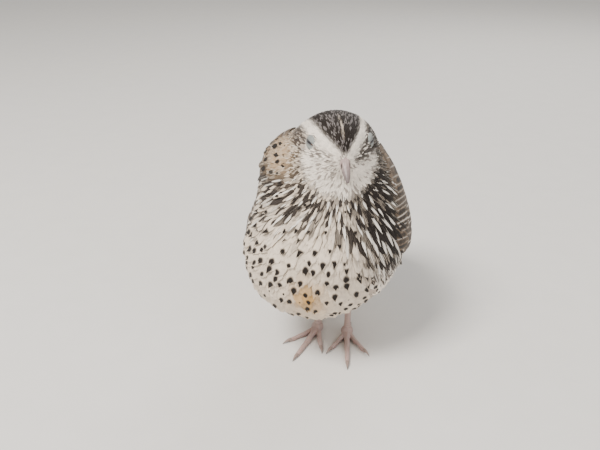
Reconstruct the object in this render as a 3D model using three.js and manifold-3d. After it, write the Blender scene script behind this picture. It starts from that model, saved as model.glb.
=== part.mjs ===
// A female coturnix quail at rest, life size: plumage fluffed, neck drawn in, head turned to its left.
// Millimetres, +Z up. The bird faces -Y, its left side is at +X, and it stands on the plane z = 0.

import * as THREE from "three";
import { mergeVertices } from "three/addons/utils/BufferGeometryUtils.js";
import Module from "manifold-3d";

const wasm = await Module();
wasm.setup();

const RAD = Math.PI / 180;

// Driving dimensions

const GAP = 0.3; // between pieces that touch

const BODY_WIDTH = 73;
const BREAST = { y: -13, z: 58 };
const HEAD = { x: 4, y: -21, z: 106.8, yaw: 21, pitch: 5 };
const SKULL = { width: 28, length: 31, height: 22.5 };

const EYE_RADIUS = 3.7;
const EYE_PLACE = { x: 9.8, y: -5.5, z: 1.8 };
const EYE_FORWARD = 20; // degrees that each eye looks forwards of straight sideways
const EYE_OPENING = { length: 6.4, height: 4.9 };
const LID_THICKNESS = 0.75;

const BILL_LENGTH = 12;
const BILL_ROOT = { y: -14.5, z: -1.6 };
const BILL_SIZE = { width: 5.6, upper: 3.1, lower: 1.9 };
const BILL_DROOP = 20; // degrees below the head's own level

const TAIL_ROOT = { y: 50, z: 41 };
const TAIL_DROOP = 30;
const TAIL_LENGTH = 34;

const FOOT_SPREAD = 15; // between the two feet
const FOOT_Y = -3;
const FOOT_TURN = 11; // each foot points outwards
const FOOT_TOP = 6;
const SHANK_TOP = 16;
const SHANK_THICKNESS = 3.4;

// Materials

const cream = new THREE.MeshStandardMaterial({ color: 0xd9d0c4, roughness: 0.9 });
const white = new THREE.MeshStandardMaterial({ color: 0xe2dcd2, roughness: 0.9 });
const mottled = new THREE.MeshStandardMaterial({ color: 0x776a60, roughness: 0.9 });
const billHorn = new THREE.MeshStandardMaterial({ color: 0xa99a95, roughness: 0.45 });
const clawHorn = new THREE.MeshStandardMaterial({ color: 0x6f5f5a, roughness: 0.45 });
const scaled = new THREE.MeshStandardMaterial({ color: 0xc2a59b, roughness: 0.6 });
const wetDark = new THREE.MeshStandardMaterial({ color: 0x1d120c, roughness: 0.08 });

// Solids: a closed geometry becomes a solid, and a solid becomes a named mesh

function solidOf(geometry) {
  const bare = geometry.clone();
  bare.deleteAttribute("normal");
  bare.deleteAttribute("uv");
  const merged = mergeVertices(bare, 1e-3);
  return new wasm.Manifold(
    new wasm.Mesh({
      numProp: 3,
      vertProperties: merged.attributes.position.array,
      triVerts: new Uint32Array(merged.index.array),
    }),
  );
}

function largest(solid) {
  return solid.decompose().reduce((best, body) => (body.volume() > best.volume() ? body : best));
}

function joined(solids) {
  return solids.reduce((whole, piece) => whole.add(piece));
}

function meshOf(name, solid, material) {
  const { vertProperties, triVerts } = largest(solid.simplify(0.01)).getMesh();
  const geometry = new THREE.BufferGeometry();
  geometry.setAttribute("position", new THREE.BufferAttribute(vertProperties, 3));
  geometry.setIndex(new THREE.BufferAttribute(triVerts, 1));
  geometry.computeVertexNormals();
  const mesh = new THREE.Mesh(geometry, material);
  mesh.name = name;
  return mesh;
}

// Everything on the far side of a plane, as a block to cut away.
function blockBeyond(point, normal) {
  const size = 300;
  const block = new THREE.BoxGeometry(size, size, size);
  block.translate(0, 0, size / 2);
  block.applyQuaternion(new THREE.Quaternion().setFromUnitVectors(UP, normal));
  block.translate(point.x, point.y, point.z);
  return solidOf(block);
}

// A skin drawn through rings of points, closed by a fan at each end.
function loft(rings) {
  const count = rings[0].length;
  const faces = [];
  for (let r = 0; r + 1 < rings.length; r++) {
    for (let i = 0; i < count; i++) {
      const a = r * count + i;
      const b = r * count + ((i + 1) % count);
      faces.push([a, b, a + count], [b, b + count, a + count]);
    }
  }
  const last = (rings.length - 1) * count;
  for (let i = 1; i + 1 < count; i++) {
    faces.push([0, i + 1, i], [last, last + i, last + i + 1]);
  }
  const geometry = new THREE.BufferGeometry().setFromPoints(rings.flat());
  geometry.setIndex(faces.flat());
  const solid = solidOf(geometry);
  if (solid.volume() > 0) return solid;
  geometry.setIndex(faces.map(([a, b, c]) => [a, c, b]).flat());
  return solidOf(geometry);
}

// An oval ring square to a direction.
function ring(centre, along, width, height, sides) {
  const level = Math.abs(along.z) > 0.9 ? FORWARD : UP;
  const across = new THREE.Vector3().crossVectors(along, level).normalize();
  const over = new THREE.Vector3().crossVectors(across, along).normalize();
  return Array.from({ length: sides }, (_, i) => {
    const angle = ((i + 0.5) / sides) * 2 * Math.PI;
    return centre
      .clone()
      .addScaledVector(across, (Math.cos(angle) * width) / 2)
      .addScaledVector(over, (Math.sin(angle) * height) / 2);
  });
}

const UP = new THREE.Vector3(0, 0, 1);
const FORWARD = new THREE.Vector3(0, -1, 0);

// The head has a frame of its own, facing -Y, turned and nodded about its centre

const headFrame = new THREE.Matrix4()
  .makeTranslation(HEAD.x, HEAD.y, HEAD.z)
  .multiply(new THREE.Matrix4().makeRotationZ(HEAD.yaw * RAD))
  .multiply(new THREE.Matrix4().makeRotationX(HEAD.pitch * RAD));
const bodyFrame = new THREE.Matrix4();

function droopingFrame(y, z, droop) {
  return new THREE.Matrix4()
    .makeTranslation(0, y, z)
    .multiply(new THREE.Matrix4().makeRotationX(-droop * RAD));
}

function inHead(x, y, z) {
  return new THREE.Vector3(x, y, z).applyMatrix4(headFrame);
}

// The plumage: egg-shaped masses that run softly into one another

function mass(frame, centre, radii, blend) {
  const place = frame.clone().multiply(new THREE.Matrix4().makeTranslation(...centre));
  return { inverse: place.invert(), radii: new THREE.Vector3(...radii), blend };
}

const bodyHalf = BODY_WIDTH / 2;

const masses = [
  mass(bodyFrame, [-1, BREAST.y, BREAST.z + 2.5], [bodyHalf - 0.5, bodyHalf - 1, bodyHalf - 3.5], 1),
  mass(bodyFrame, [-8, BREAST.y - 5, BREAST.z - 9.5], [bodyHalf - 7.5, bodyHalf - 8.5, bodyHalf - 10.5], 10),
  mass(droopingFrame(15, 57, 21), [0, 0, 0], [bodyHalf - 8.5, 39, 31], 14),
  mass(droopingFrame(41, 46, TAIL_DROOP), [0, 0, 0], [20, 23, 16], 14),
  mass(bodyFrame, [3, -13, 86], [25, 24, 21], 12),
  mass(bodyFrame, [-13, -8, 88], [20, 20, 19], 10),
  mass(headFrame, [0, 0, 0], [SKULL.width / 2, SKULL.length / 2, SKULL.height / 2], 7),
  mass(headFrame, [0, 7, -4], [17.5, 12.5, 12], 7),
  mass(headFrame, [0, -10, -0.8], [7, 8, 6.4], 6),
  mass(headFrame, [0, -4.5, -7.5], [14, 11.5, 9], 7),
];

const local = new THREE.Vector3();
const scaledLocal = new THREE.Vector3();

// About the distance in millimetres to one mass, below zero inside it.
function distanceTo({ inverse, radii }, point) {
  local.copy(point).applyMatrix4(inverse).divide(radii);
  const reach = local.length() + 1e-6;
  const slope = scaledLocal.copy(local).divide(radii).length() + 1e-6;
  return (reach * (reach - 1)) / slope;
}

// About the distance to the whole plumage.
function plumage(point) {
  let nearest = distanceTo(masses[0], point);
  for (const piece of masses.slice(1)) {
    const distance = distanceTo(piece, point);
    const overlap = Math.max(piece.blend - Math.abs(nearest - distance), 0) / piece.blend;
    nearest = Math.min(nearest, distance) - (overlap * overlap * piece.blend) / 4;
  }
  return nearest;
}

function plumageNormal(point) {
  const step = 0.05;
  const moved = point.clone();
  const slope = (axis) => {
    moved.copy(point)[axis] += step;
    const after = plumage(moved);
    moved[axis] -= 2 * step;
    return after - plumage(moved);
  };
  return new THREE.Vector3(slope("x"), slope("y"), slope("z")).normalize();
}

// Where a ray from inside the bird comes out of its plumage.
function wayOut(start, direction) {
  const stride = 4;
  const depthAt = (distance) => plumage(start.clone().addScaledVector(direction, distance));
  let near = 0;
  let far = stride;
  while (depthAt(far) < 0) {
    near = far;
    far += stride;
  }
  for (let i = 0; i < 16; i++) {
    const middle = (near + far) / 2;
    if (depthAt(middle) < 0) near = middle;
    else far = middle;
  }
  return start.clone().addScaledVector(direction, far);
}

// The plumage as seen from a place inside it, raised by a height, with the sphere's poles along an axis.
function plumageFrom(centre, axis, columns, rows, height = 0) {
  const geometry = new THREE.SphereGeometry(1, columns, rows);
  const turn = new THREE.Quaternion().setFromUnitVectors(new THREE.Vector3(0, 1, 0), axis);
  const places = geometry.attributes.position;
  const direction = new THREE.Vector3();
  for (let i = 0; i < places.count; i++) {
    direction.fromBufferAttribute(places, i).normalize().applyQuaternion(turn);
    const out = wayOut(centre, direction);
    out.addScaledVector(plumageNormal(out), height);
    places.setXYZ(i, out.x, out.y, out.z);
  }
  return solidOf(geometry);
}

// Torso, neck and head, parted by thin cuts

const headCut = {
  point: new THREE.Vector3(0, -12, 96),
  normal: new THREE.Vector3(0, -0.42, 0.91).normalize(),
};
const neckCut = {
  point: new THREE.Vector3(0, -10, 80),
  normal: new THREE.Vector3(0, -0.42, 0.91).normalize(),
};
const tailCut = {
  point: new THREE.Vector3(0, TAIL_ROOT.y, TAIL_ROOT.z),
  normal: new THREE.Vector3(0, Math.cos(TAIL_DROOP * RAD), -Math.sin(TAIL_DROOP * RAD)),
};

function blockPast({ point, normal }) {
  return blockBeyond(point.clone().addScaledVector(normal, -GAP / 2), normal);
}

function blockShortOf({ point, normal }) {
  return blockBeyond(point.clone().addScaledVector(normal, GAP / 2), normal.clone().negate());
}

const torsoCentre = new THREE.Vector3(0, 4, 56);
const neckCentre = new THREE.Vector3(-2, -12, 88);
const headCentre = inHead(0, 0, -2);
const rumpCentre = new THREE.Vector3(0, 44, 44);
const alongBody = new THREE.Vector3(0, 1, -0.25).normalize();
const headForward = new THREE.Vector3(0, -1, 0).transformDirection(headFrame);

const TORSO_FACETS = [34, 24];
const NECK_FACETS = [32, 22];
const RUMP_FACETS = [26, 20];
const HEAD_FACETS = [30, 22];

const torso = plumageFrom(torsoCentre, alongBody, ...TORSO_FACETS)
  .subtract(blockPast(neckCut))
  .subtract(blockPast(tailCut));
const neck = plumageFrom(neckCentre, UP, ...NECK_FACETS)
  .subtract(blockPast(headCut))
  .subtract(blockShortOf(neckCut));
const rump = plumageFrom(rumpCentre, tailCut.normal, ...RUMP_FACETS).subtract(blockShortOf(tailCut));

// The same surfaces grown by the gap, to trim what lies against them.
const roundTorso = plumageFrom(torsoCentre, alongBody, ...TORSO_FACETS, GAP);
const roundNeck = plumageFrom(neckCentre, UP, ...NECK_FACETS, GAP);
const roundRump = plumageFrom(rumpCentre, tailCut.normal, ...RUMP_FACETS, GAP);
const roundHead = plumageFrom(headCentre, headForward, ...HEAD_FACETS, GAP);

// Eyes and lids

function eyeCentre(side) {
  return inHead(side * EYE_PLACE.x, EYE_PLACE.y, EYE_PLACE.z);
}

function eyeBall(side, radius) {
  const ball = new THREE.SphereGeometry(radius, 16, 10);
  const centre = eyeCentre(side);
  return solidOf(ball.translate(centre.x, centre.y, centre.z));
}

// The almond between the lids, as a plug that points out of the head the way the eye looks.
function eyeOpening(side) {
  const { length, height } = EYE_OPENING;
  const almond = new THREE.Shape();
  almond.moveTo(-length / 2, 0);
  almond.bezierCurveTo(-length / 3, height * 0.62, length / 3, height * 0.72, length / 2, 0);
  almond.bezierCurveTo(length / 3, -height * 0.66, -length / 3, -height * 0.66, -length / 2, 0);
  const plug = new THREE.ExtrudeGeometry(almond, { depth: 8, curveSegments: 7, bevelEnabled: false });
  const look = new THREE.Vector3(side * Math.cos(EYE_FORWARD * RAD), -Math.sin(EYE_FORWARD * RAD), 0.08);
  look.normalize();
  const across = new THREE.Vector3().crossVectors(UP, look).normalize();
  const over = new THREE.Vector3().crossVectors(look, across);
  plug.applyMatrix4(new THREE.Matrix4().makeBasis(across, over, look));
  plug.translate(side * EYE_PLACE.x, EYE_PLACE.y, EYE_PLACE.z);
  return solidOf(plug.applyMatrix4(headFrame));
}

function withEye(head, side) {
  return head
    .add(eyeBall(side, EYE_RADIUS + GAP + LID_THICKNESS))
    .subtract(eyeBall(side, EYE_RADIUS + GAP))
    .subtract(eyeOpening(side));
}

const bareHead = plumageFrom(headCentre, headForward, ...HEAD_FACETS).subtract(blockShortOf(headCut));
const head = withEye(withEye(bareHead, -1), 1);

// Bill: two curved horn blades, one over the other, with the line of the mouth between them

const billForward = new THREE.Vector3(0, -Math.cos(BILL_DROOP * RAD), -Math.sin(BILL_DROOP * RAD));

// Half of the bill: `sign` is +1 above the mouth and -1 below it.
function billBlade(sign, reach, depth) {
  const stations = 8;
  const sides = 10;
  const sunk = 6;
  const over = new THREE.Vector3(0, billForward.z, -billForward.y);
  const rings = [];
  for (let s = 0; s <= stations; s++) {
    const t = s / stations;
    const taper = Math.sqrt(1 - 0.965 * t ** 1.7);
    const hook = -1.5 * t ** 3;
    const centre = new THREE.Vector3(0, BILL_ROOT.y, BILL_ROOT.z)
      .addScaledVector(billForward, -sunk + t * (reach + sunk))
      .addScaledVector(over, hook + (sign * GAP) / 2);
    rings.push(
      Array.from({ length: sides }, (_, i) => {
        const angle = (i / (sides - 1)) * Math.PI;
        const across = (Math.cos(angle) * BILL_SIZE.width * taper) / 2;
        const height = sign * Math.sin(angle) * depth * taper;
        return centre.clone().addScaledVector(over, height).setX(across).applyMatrix4(headFrame);
      }),
    );
  }
  return loft(rings);
}

function nostril(side) {
  const dent = new THREE.SphereGeometry(1, 10, 8);
  dent.scale(0.45, 1.3, 0.5);
  dent.rotateX(BILL_DROOP * RAD);
  dent.translate(side * BILL_SIZE.width * 0.4, BILL_ROOT.y - 4, BILL_ROOT.z + 0.1);
  return solidOf(dent.applyMatrix4(headFrame));
}

const billUpper = billBlade(1, BILL_LENGTH, BILL_SIZE.upper)
  .subtract(roundHead)
  .subtract(nostril(-1))
  .subtract(nostril(1));
const billLower = billBlade(-1, BILL_LENGTH - 0.9, BILL_SIZE.lower).subtract(roundHead);

// Places on the body's side: `along` from breast to tail, and `round` in degrees from the back's ridge

const axisFront = new THREE.Vector3(0, -35, 64);
const axisRear = new THREE.Vector3(0, 68, 37);
const axisAlong = axisRear.clone().sub(axisFront).normalize();
const axisUp = new THREE.Vector3(0, -axisAlong.z, axisAlong.y);

function onBody(side, along, round, height) {
  const start = axisFront.clone().lerp(axisRear, along);
  const out = axisUp.clone().multiplyScalar(Math.cos(round * RAD));
  out.x = side * Math.sin(round * RAD);
  const place = wayOut(start, out);
  return place.addScaledVector(plumageNormal(place), height);
}

// Vanes: thin feathers, roofed along the shaft, that widen from the root and end in a round tip

const VANE_STATIONS = 4;

const stationsAlong = Array.from({ length: VANE_STATIONS + 1 }, (_, i) => 1 - (1 - i / VANE_STATIONS) ** 1.2);

// The share of a vane's full breadth at a share of its length.
function breadth(t) {
  return Math.min(1, 0.7 + 1.2 * t) * Math.sqrt(Math.max(1 - t ** 5, 0.03));
}

// Wings: folded along the flanks, in tiers that overlap like tiles, each feather's lower edge over the next

const WING = { under: 0.85, least: 1.3, edge: 0.4, shaft: 0.35, thinning: 0.3, rise: 0.35 };

// Each tier runs from its uppermost feather to its lowest: places are [along, round] on the body's side.
const WING_TIERS = {
  primaries: {
    count: 3, half: 4.8, top: 1.4,
    roots: [[0.5, 60], [0.46, 75]],
    tips: [[0.86, 56], [0.77, 74]],
  },
  secondaries: {
    count: 5, half: 6, top: 1.5,
    roots: [[0.36, 55], [0.34, 91]],
    tips: [[0.75, 52], [0.54, 91]],
  },
  tertials: {
    count: 3, half: 5.4, top: 1.85,
    roots: [[0.3, 41], [0.3, 50]],
    tips: [[0.79, 37], [0.72, 52]],
  },
  greater_coverts: {
    count: 5, half: 5.8, top: 1.9,
    roots: [[0.24, 53], [0.22, 91]],
    tips: [[0.5, 49], [0.41, 89]],
  },
  median_coverts: {
    count: 4, half: 6.2, top: 2.2,
    roots: [[0.2, 53], [0.19, 89]],
    tips: [[0.37, 49], [0.31, 87]],
  },
  scapulars: {
    count: 4, half: 5.6, top: 2.4,
    roots: [[0.24, 29], [0.2, 48]],
    tips: [[0.57, 29], [0.41, 49]],
  },
};

function between([fromAlong, fromRound], [toAlong, toRound], t) {
  return [fromAlong + t * (toAlong - fromAlong), fromRound + t * (toRound - fromRound)];
}

// A vane that lies on the body's side from one place to another, its upper edge the more deeply tucked.
function wingVane(side, root, tip, half, top) {
  return loft(
    stationsAlong.map((t) => {
      const [along, round] = between(root, tip, t);
      const start = axisFront.clone().lerp(axisRear, along);
      const spread = (half * breadth(t)) / onBody(side, along, round, 0).distanceTo(start) / RAD;
      const height = WING.least + (top - WING.least) * Math.min(1, t / WING.rise) - WING.thinning * t;
      const at = (u, raised) => onBody(side, along, round + u * spread, raised);
      return [
        at(-1, WING.under),
        at(1, WING.under),
        at(1, height + WING.edge),
        at(0.1, height + WING.shaft),
        at(-1, height),
      ];
    }),
  );
}

function wingTier(side, { count, half, top, roots, tips }) {
  const vanes = [];
  for (let i = 0; i < count; i++) {
    const t = i / (count - 1);
    vanes.push(wingVane(side, between(roots[0], roots[1], t), between(tips[0], tips[1], t), half, top));
  }
  return joined(vanes);
}

// The ground of the wing under its tiers: a thin pad, fuller in front where the small feathers lie.
const WING_PAD = { front: 0.14, rear: 0.66, middle: 66, half: 25, thickness: 0.5, bulge: 0.7 };

function wingPad(side) {
  const stations = 7;
  const steps = 5;
  const { front, rear, middle, half, thickness } = WING_PAD;
  const across = Array.from({ length: steps + 1 }, (_, i) => (2 * i) / steps - 1);
  const rings = [];
  for (let s = 0; s <= stations; s++) {
    const t = s / stations;
    const along = front + (rear - front) * t;
    const fullness = Math.sqrt(Math.sin(Math.PI * (0.06 + 0.84 * t)));
    const bulge = WING_PAD.bulge * Math.sin(Math.PI * Math.min(1, 1.8 * t));
    const at = (u, raised) => onBody(side, along, middle + u * half * fullness, raised);
    const under = across.map((u) => at(u, WING.under));
    const over = across.map((u) => at(u, WING.under + thickness + bulge * (1 - 0.7 * u * u)));
    rings.push([...under, ...over.reverse()]);
  }
  return loft(rings);
}

function wing(side) {
  const tiers = Object.values(WING_TIERS).map((tier) => wingTier(side, tier));
  return joined([wingPad(side), ...tiers])
    .subtract(roundTorso)
    .subtract(roundNeck)
    .subtract(roundHead)
    .subtract(roundRump);
}

// Tail: short, soft and drooping, each feather lying under its inner neighbour

const tailBack = tailCut.normal;
const tailOver = new THREE.Vector3(0, -tailBack.z, tailBack.y);

const TAIL_FEATHERS = 8;
const TAIL_FAN = 5.2; // degrees between neighbours
const TAIL_ROOF = 12; // degrees that each half of the tail slopes down
const TAIL_STEP = 1; // from one feather down to the next
const TAIL_VANE = { half: 5, edge: 0.6, shaft: 0.95, sag: 2.2 };
const COVERT_FAN = 11; // degrees between neighbouring coverts, and the slope from one to the next

// A straight vane in the tail's own directions: `reach` runs back along the tail and `height` square to it.
function tailVane({ turn, roof, from, to, half }) {
  const back = tailBack.clone().applyAxisAngle(tailOver, turn * RAD);
  const across = new THREE.Vector3().crossVectors(tailOver, back).applyAxisAngle(back, roof * RAD);
  const out = new THREE.Vector3().crossVectors(back, across);
  return loft(
    stationsAlong.map((t) => {
      const reach = from.reach + t * (to.reach - from.reach);
      const height = from.height + t * (to.height - from.height) - TAIL_VANE.sag * t * t;
      const centre = new THREE.Vector3(0, TAIL_ROOT.y, TAIL_ROOT.z)
        .addScaledVector(back, reach)
        .addScaledVector(tailOver, height);
      const at = (u, raised) =>
        centre.clone().addScaledVector(across, u * half * breadth(t)).addScaledVector(out, raised);
      return [at(-1, 0), at(1, 0), at(1, TAIL_VANE.edge), at(0, TAIL_VANE.shaft), at(-1, TAIL_VANE.edge)];
    }),
  );
}

function tailFan() {
  const vanes = [];
  for (let i = 0; i < TAIL_FEATHERS; i++) {
    const place = i - (TAIL_FEATHERS - 1) / 2;
    const rank = Math.floor(Math.abs(place));
    const level = 3.4 - TAIL_STEP * rank;
    vanes.push(
      tailVane({
        turn: -place * TAIL_FAN,
        roof: Math.sign(place) * TAIL_ROOF,
        from: { reach: -4, height: level },
        to: { reach: TAIL_LENGTH - 0.9 * rank, height: level },
        half: TAIL_VANE.half,
      }),
    );
  }
  return joined(vanes);
}

// The feathers that cover the tail's root, above (sign +1) or below (sign -1).
function tailCoverts(sign, count, reach) {
  const vanes = [];
  for (let i = 0; i < count; i++) {
    const place = i - (count - 1) / 2;
    const rank = Math.abs(place);
    vanes.push(
      tailVane({
        turn: -place * COVERT_FAN,
        roof: sign * place * COVERT_FAN,
        from: { reach: -3, height: sign > 0 ? 9 - rank : -10 + rank },
        to: { reach: reach - 1.6 * rank, height: sign > 0 ? 6.2 - 0.9 * rank : -2.8 + 0.6 * rank },
        half: TAIL_VANE.half,
      }),
    );
  }
  return joined(vanes);
}

const tail = joined([rump, tailFan(), tailCoverts(1, 4, 23), tailCoverts(-1, 3, 22)]).subtract(
  blockShortOf(tailCut),
);

// Legs: a tuft of feathers over each thigh, a bare scaled shank, and four toes with their claws

function legPlace(side, y, z) {
  return new THREE.Vector3((side * FOOT_SPREAD) / 2, FOOT_Y + y, z);
}

function thigh(side) {
  const levels = [
    [36, 4, 18],
    [30, 3, 17],
    [25, 2.4, 15],
    [21, 2, 12],
    [18, 1.7, 9],
    [SHANK_TOP + GAP, 1.6, 6.6],
  ];
  return loft(levels.map(([z, y, width]) => ring(legPlace(side, y, z), UP, width, width * 1.1, 14)));
}

function shank(side) {
  const foot = legPlace(side, 0, FOOT_TOP + GAP);
  const top = legPlace(side, 1.6, SHANK_TOP);
  const steps = [0, 0.35, 0.7, 1];
  return loft(
    steps.map((t) => {
      const thickness = SHANK_THICKNESS * (1 - 0.12 * Math.sin(Math.PI * t));
      return ring(foot.clone().lerp(top, t), UP, thickness, thickness * 1.15, 12);
    }),
  );
}

const TOES = {
  inner: { length: 16, turn: -30, thickness: 2.9, joints: 2 },
  middle: { length: 25, turn: 0, thickness: 3.2, joints: 3 },
  outer: { length: 17, turn: 30, thickness: 2.8, joints: 3 },
  hind: { length: 7.5, turn: 168, thickness: 2.4, joints: 1 },
};
const TOE_END = 1.9; // thickness at the claw
const CLAW_LENGTH = 3.8;

// A toe points this way: `turn` is counted outwards from the way that the foot points.
function toeDirection(side, turn) {
  const angle = side * (FOOT_TURN + turn) * RAD;
  return new THREE.Vector3(Math.sin(angle), -Math.cos(angle), 0);
}

function toe(side, { length, turn, thickness, joints }) {
  const direction = toeDirection(side, turn);
  const start = legPlace(side, 0, 0);
  const stations = joints * 3;
  const rings = [];
  for (let s = 0; s <= stations; s++) {
    const t = s / stations;
    const pad = 1 + 0.1 * Math.cos(2 * Math.PI * t * joints + Math.PI);
    const size = (thickness + t * (TOE_END - thickness)) * pad;
    const centre = start.clone().addScaledVector(direction, t * length);
    centre.z = size * 0.44 + 1.6 * (1 - t) ** 4;
    rings.push(ring(centre, direction, size, size, 8));
  }
  return loft(rings);
}

function foot(side) {
  const hub = new THREE.SphereGeometry(3, 14, 10);
  hub.scale(1, 1.1, 0.95);
  hub.translate((side * FOOT_SPREAD) / 2, FOOT_Y, 2.6);
  const ankle = [1.5, 4.5, FOOT_TOP].map((z) => {
    const width = z === FOOT_TOP ? SHANK_THICKNESS : SHANK_THICKNESS * 1.25;
    return ring(legPlace(side, 0, z), UP, width, width * 1.15, 12);
  });
  const floor = blockBeyond(new THREE.Vector3(0, 0, 0), new THREE.Vector3(0, 0, -1));
  return Object.values(TOES)
    .reduce((whole, each) => whole.add(toe(side, each)), solidOf(hub).add(loft(ankle)))
    .subtract(floor);
}

function clawOf(side, { length, turn }) {
  const direction = toeDirection(side, turn);
  const stations = 4;
  const rings = [];
  for (let s = 0; s <= stations; s++) {
    const t = s / stations;
    const size = TOE_END * 0.85 * (1 - 0.9 * t ** 1.3);
    const centre = legPlace(side, 0, 0).addScaledVector(direction, length + GAP + t * CLAW_LENGTH);
    centre.z = 0.95 + 0.35 * Math.sin(Math.PI * t) - 0.65 * t * t;
    rings.push(ring(centre, direction, size, size, 8));
  }
  return loft(rings);
}

// The bird, with its origin on the floor under the middle of its own box

const bird = new THREE.Group();
bird.add(meshOf("torso", torso, cream));
bird.add(meshOf("neck", neck, white));
bird.add(meshOf("head", head, mottled));
bird.add(meshOf("bill_upper", billUpper, billHorn));
bird.add(meshOf("bill_lower", billLower, billHorn));
bird.add(meshOf("tail", tail, mottled));
for (const [name, side] of [["left", 1], ["right", -1]]) {
  bird.add(meshOf(`eye_${name}`, eyeBall(side, EYE_RADIUS), wetDark));
  bird.add(meshOf(`wing_${name}`, wing(side), mottled));
  bird.add(meshOf(`thigh_${name}`, thigh(side).subtract(roundTorso), white));
  bird.add(meshOf(`shank_${name}`, shank(side), scaled));
  bird.add(meshOf(`foot_${name}`, foot(side), scaled));
  for (const [toeName, each] of Object.entries(TOES)) {
    bird.add(meshOf(`claw_${name}_${toeName}`, clawOf(side, each), clawHorn));
  }
}

const box = new THREE.Box3().setFromObject(bird);
const middle = box.getCenter(new THREE.Vector3());
bird.position.set(-middle.x, -middle.y, -box.min.z);

export default bird;
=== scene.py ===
# A female coturnix quail of a silvery breed, life size, at rest: plumage fluffed, neck drawn in.
# Places are in millimetres, as the solids were drawn, until a mesh is made of them in metres.

import math

import bmesh
import bpy
import numpy as np
from mathutils import Matrix, Vector
from mathutils.bvhtree import BVHTree


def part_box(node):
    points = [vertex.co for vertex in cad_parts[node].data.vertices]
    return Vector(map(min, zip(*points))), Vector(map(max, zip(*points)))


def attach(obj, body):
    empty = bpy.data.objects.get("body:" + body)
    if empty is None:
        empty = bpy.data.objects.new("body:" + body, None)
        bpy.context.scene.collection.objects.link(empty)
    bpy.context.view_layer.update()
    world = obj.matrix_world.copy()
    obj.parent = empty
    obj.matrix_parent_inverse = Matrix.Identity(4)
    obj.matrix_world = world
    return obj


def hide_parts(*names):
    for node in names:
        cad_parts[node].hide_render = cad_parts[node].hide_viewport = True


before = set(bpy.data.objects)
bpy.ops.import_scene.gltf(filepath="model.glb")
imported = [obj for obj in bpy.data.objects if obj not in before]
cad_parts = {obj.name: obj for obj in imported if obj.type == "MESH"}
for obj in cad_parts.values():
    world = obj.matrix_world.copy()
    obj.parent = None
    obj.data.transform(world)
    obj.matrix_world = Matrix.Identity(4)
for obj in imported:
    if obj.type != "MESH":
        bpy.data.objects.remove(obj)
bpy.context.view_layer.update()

# Skin
# The bird's own body under its feathers, one closed form from the bill to the root of the tail.
# It is melted together from the solids of flesh, so that no seam is left, and drawn in by the coat's depth.

MM = 0.001
UP = np.array([0.0, 0.0, 1.0])
HEAD_PLACE = np.array([4.0, -21.0, 106.8])
HEAD_PITCH = math.radians(5)
EYE_PLACE = np.array([9.8, -5.5, 1.8])
TAIL_ROOT = np.array([0.0, 50.0, 41.0])
TAIL_DROOP = math.radians(30)
SKIN_GRAIN = 1.2
SKIN_EASING = 22
RUMP_LENGTH = 13.0
COAT_DEPTH = 2.3
FACE_COAT_DEPTH = 0.9


def unit(vectors):
    return vectors / (np.linalg.norm(vectors, axis=-1, keepdims=True) + 1e-9)


def ramp(values, start, end):
    share = np.clip((values - start) / (end - start), 0, 1)
    return share * share * (3 - 2 * share)


def node_middle(node):
    low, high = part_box(node)
    return np.array((low + high) / 2) / MM


between_eyes = (node_middle("eye_left") + node_middle("eye_right")) / 2
head_across = unit(node_middle("eye_left") - node_middle("eye_right"))
head_back = math.cos(HEAD_PITCH) * np.cross(UP, head_across) + math.sin(HEAD_PITCH) * UP
head_up = np.cross(head_across, head_back)
head_axes = np.array([head_across, head_back, head_up])
head_centre = between_eyes - EYE_PLACE[1] * head_back - EYE_PLACE[2] * head_up
drawing_shift = head_centre - HEAD_PLACE


def placed(x, y, z):
    """A place as the solids were drawn, before they were centred over the floor."""
    return np.array([x, y, z]) + drawing_shift


def on_head(x, y, z):
    return head_centre + x * head_across + y * head_back + z * head_up


def in_head(points):
    return (points - head_centre) @ head_axes.T


def as_drawn(points):
    return points - drawing_shift


def as_object(name, mesh):
    piece = bpy.data.objects.new(name, mesh)
    bpy.context.scene.collection.objects.link(piece)
    return piece


def flesh():
    """The solids of the body, neck and head, and of the tail only its fleshy root."""
    body = bmesh.new()
    for node in ("torso", "neck", "head", "eye_left", "eye_right", "thigh_left", "thigh_right"):
        body.from_mesh(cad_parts[node].data)
    rump = bmesh.new()
    rump.from_mesh(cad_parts["tail"].data)
    tail_back = Vector((0, math.cos(TAIL_DROOP), -math.sin(TAIL_DROOP)))
    end = Vector(placed(*TAIL_ROOT)) * MM + tail_back * RUMP_LENGTH * MM
    every = rump.verts[:] + rump.edges[:] + rump.faces[:]
    cut = bmesh.ops.bisect_plane(rump, geom=every, plane_co=end, plane_no=tail_back, clear_outer=True)
    rim = [each for each in cut["geom_cut"] if isinstance(each, bmesh.types.BMEdge)]
    bmesh.ops.holes_fill(rump, edges=rim, sides=0)
    part = bpy.data.meshes.new("rump")
    rump.to_mesh(part)
    body.from_mesh(part)
    joined = bpy.data.meshes.new("flesh")
    body.to_mesh(joined)
    return joined


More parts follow.
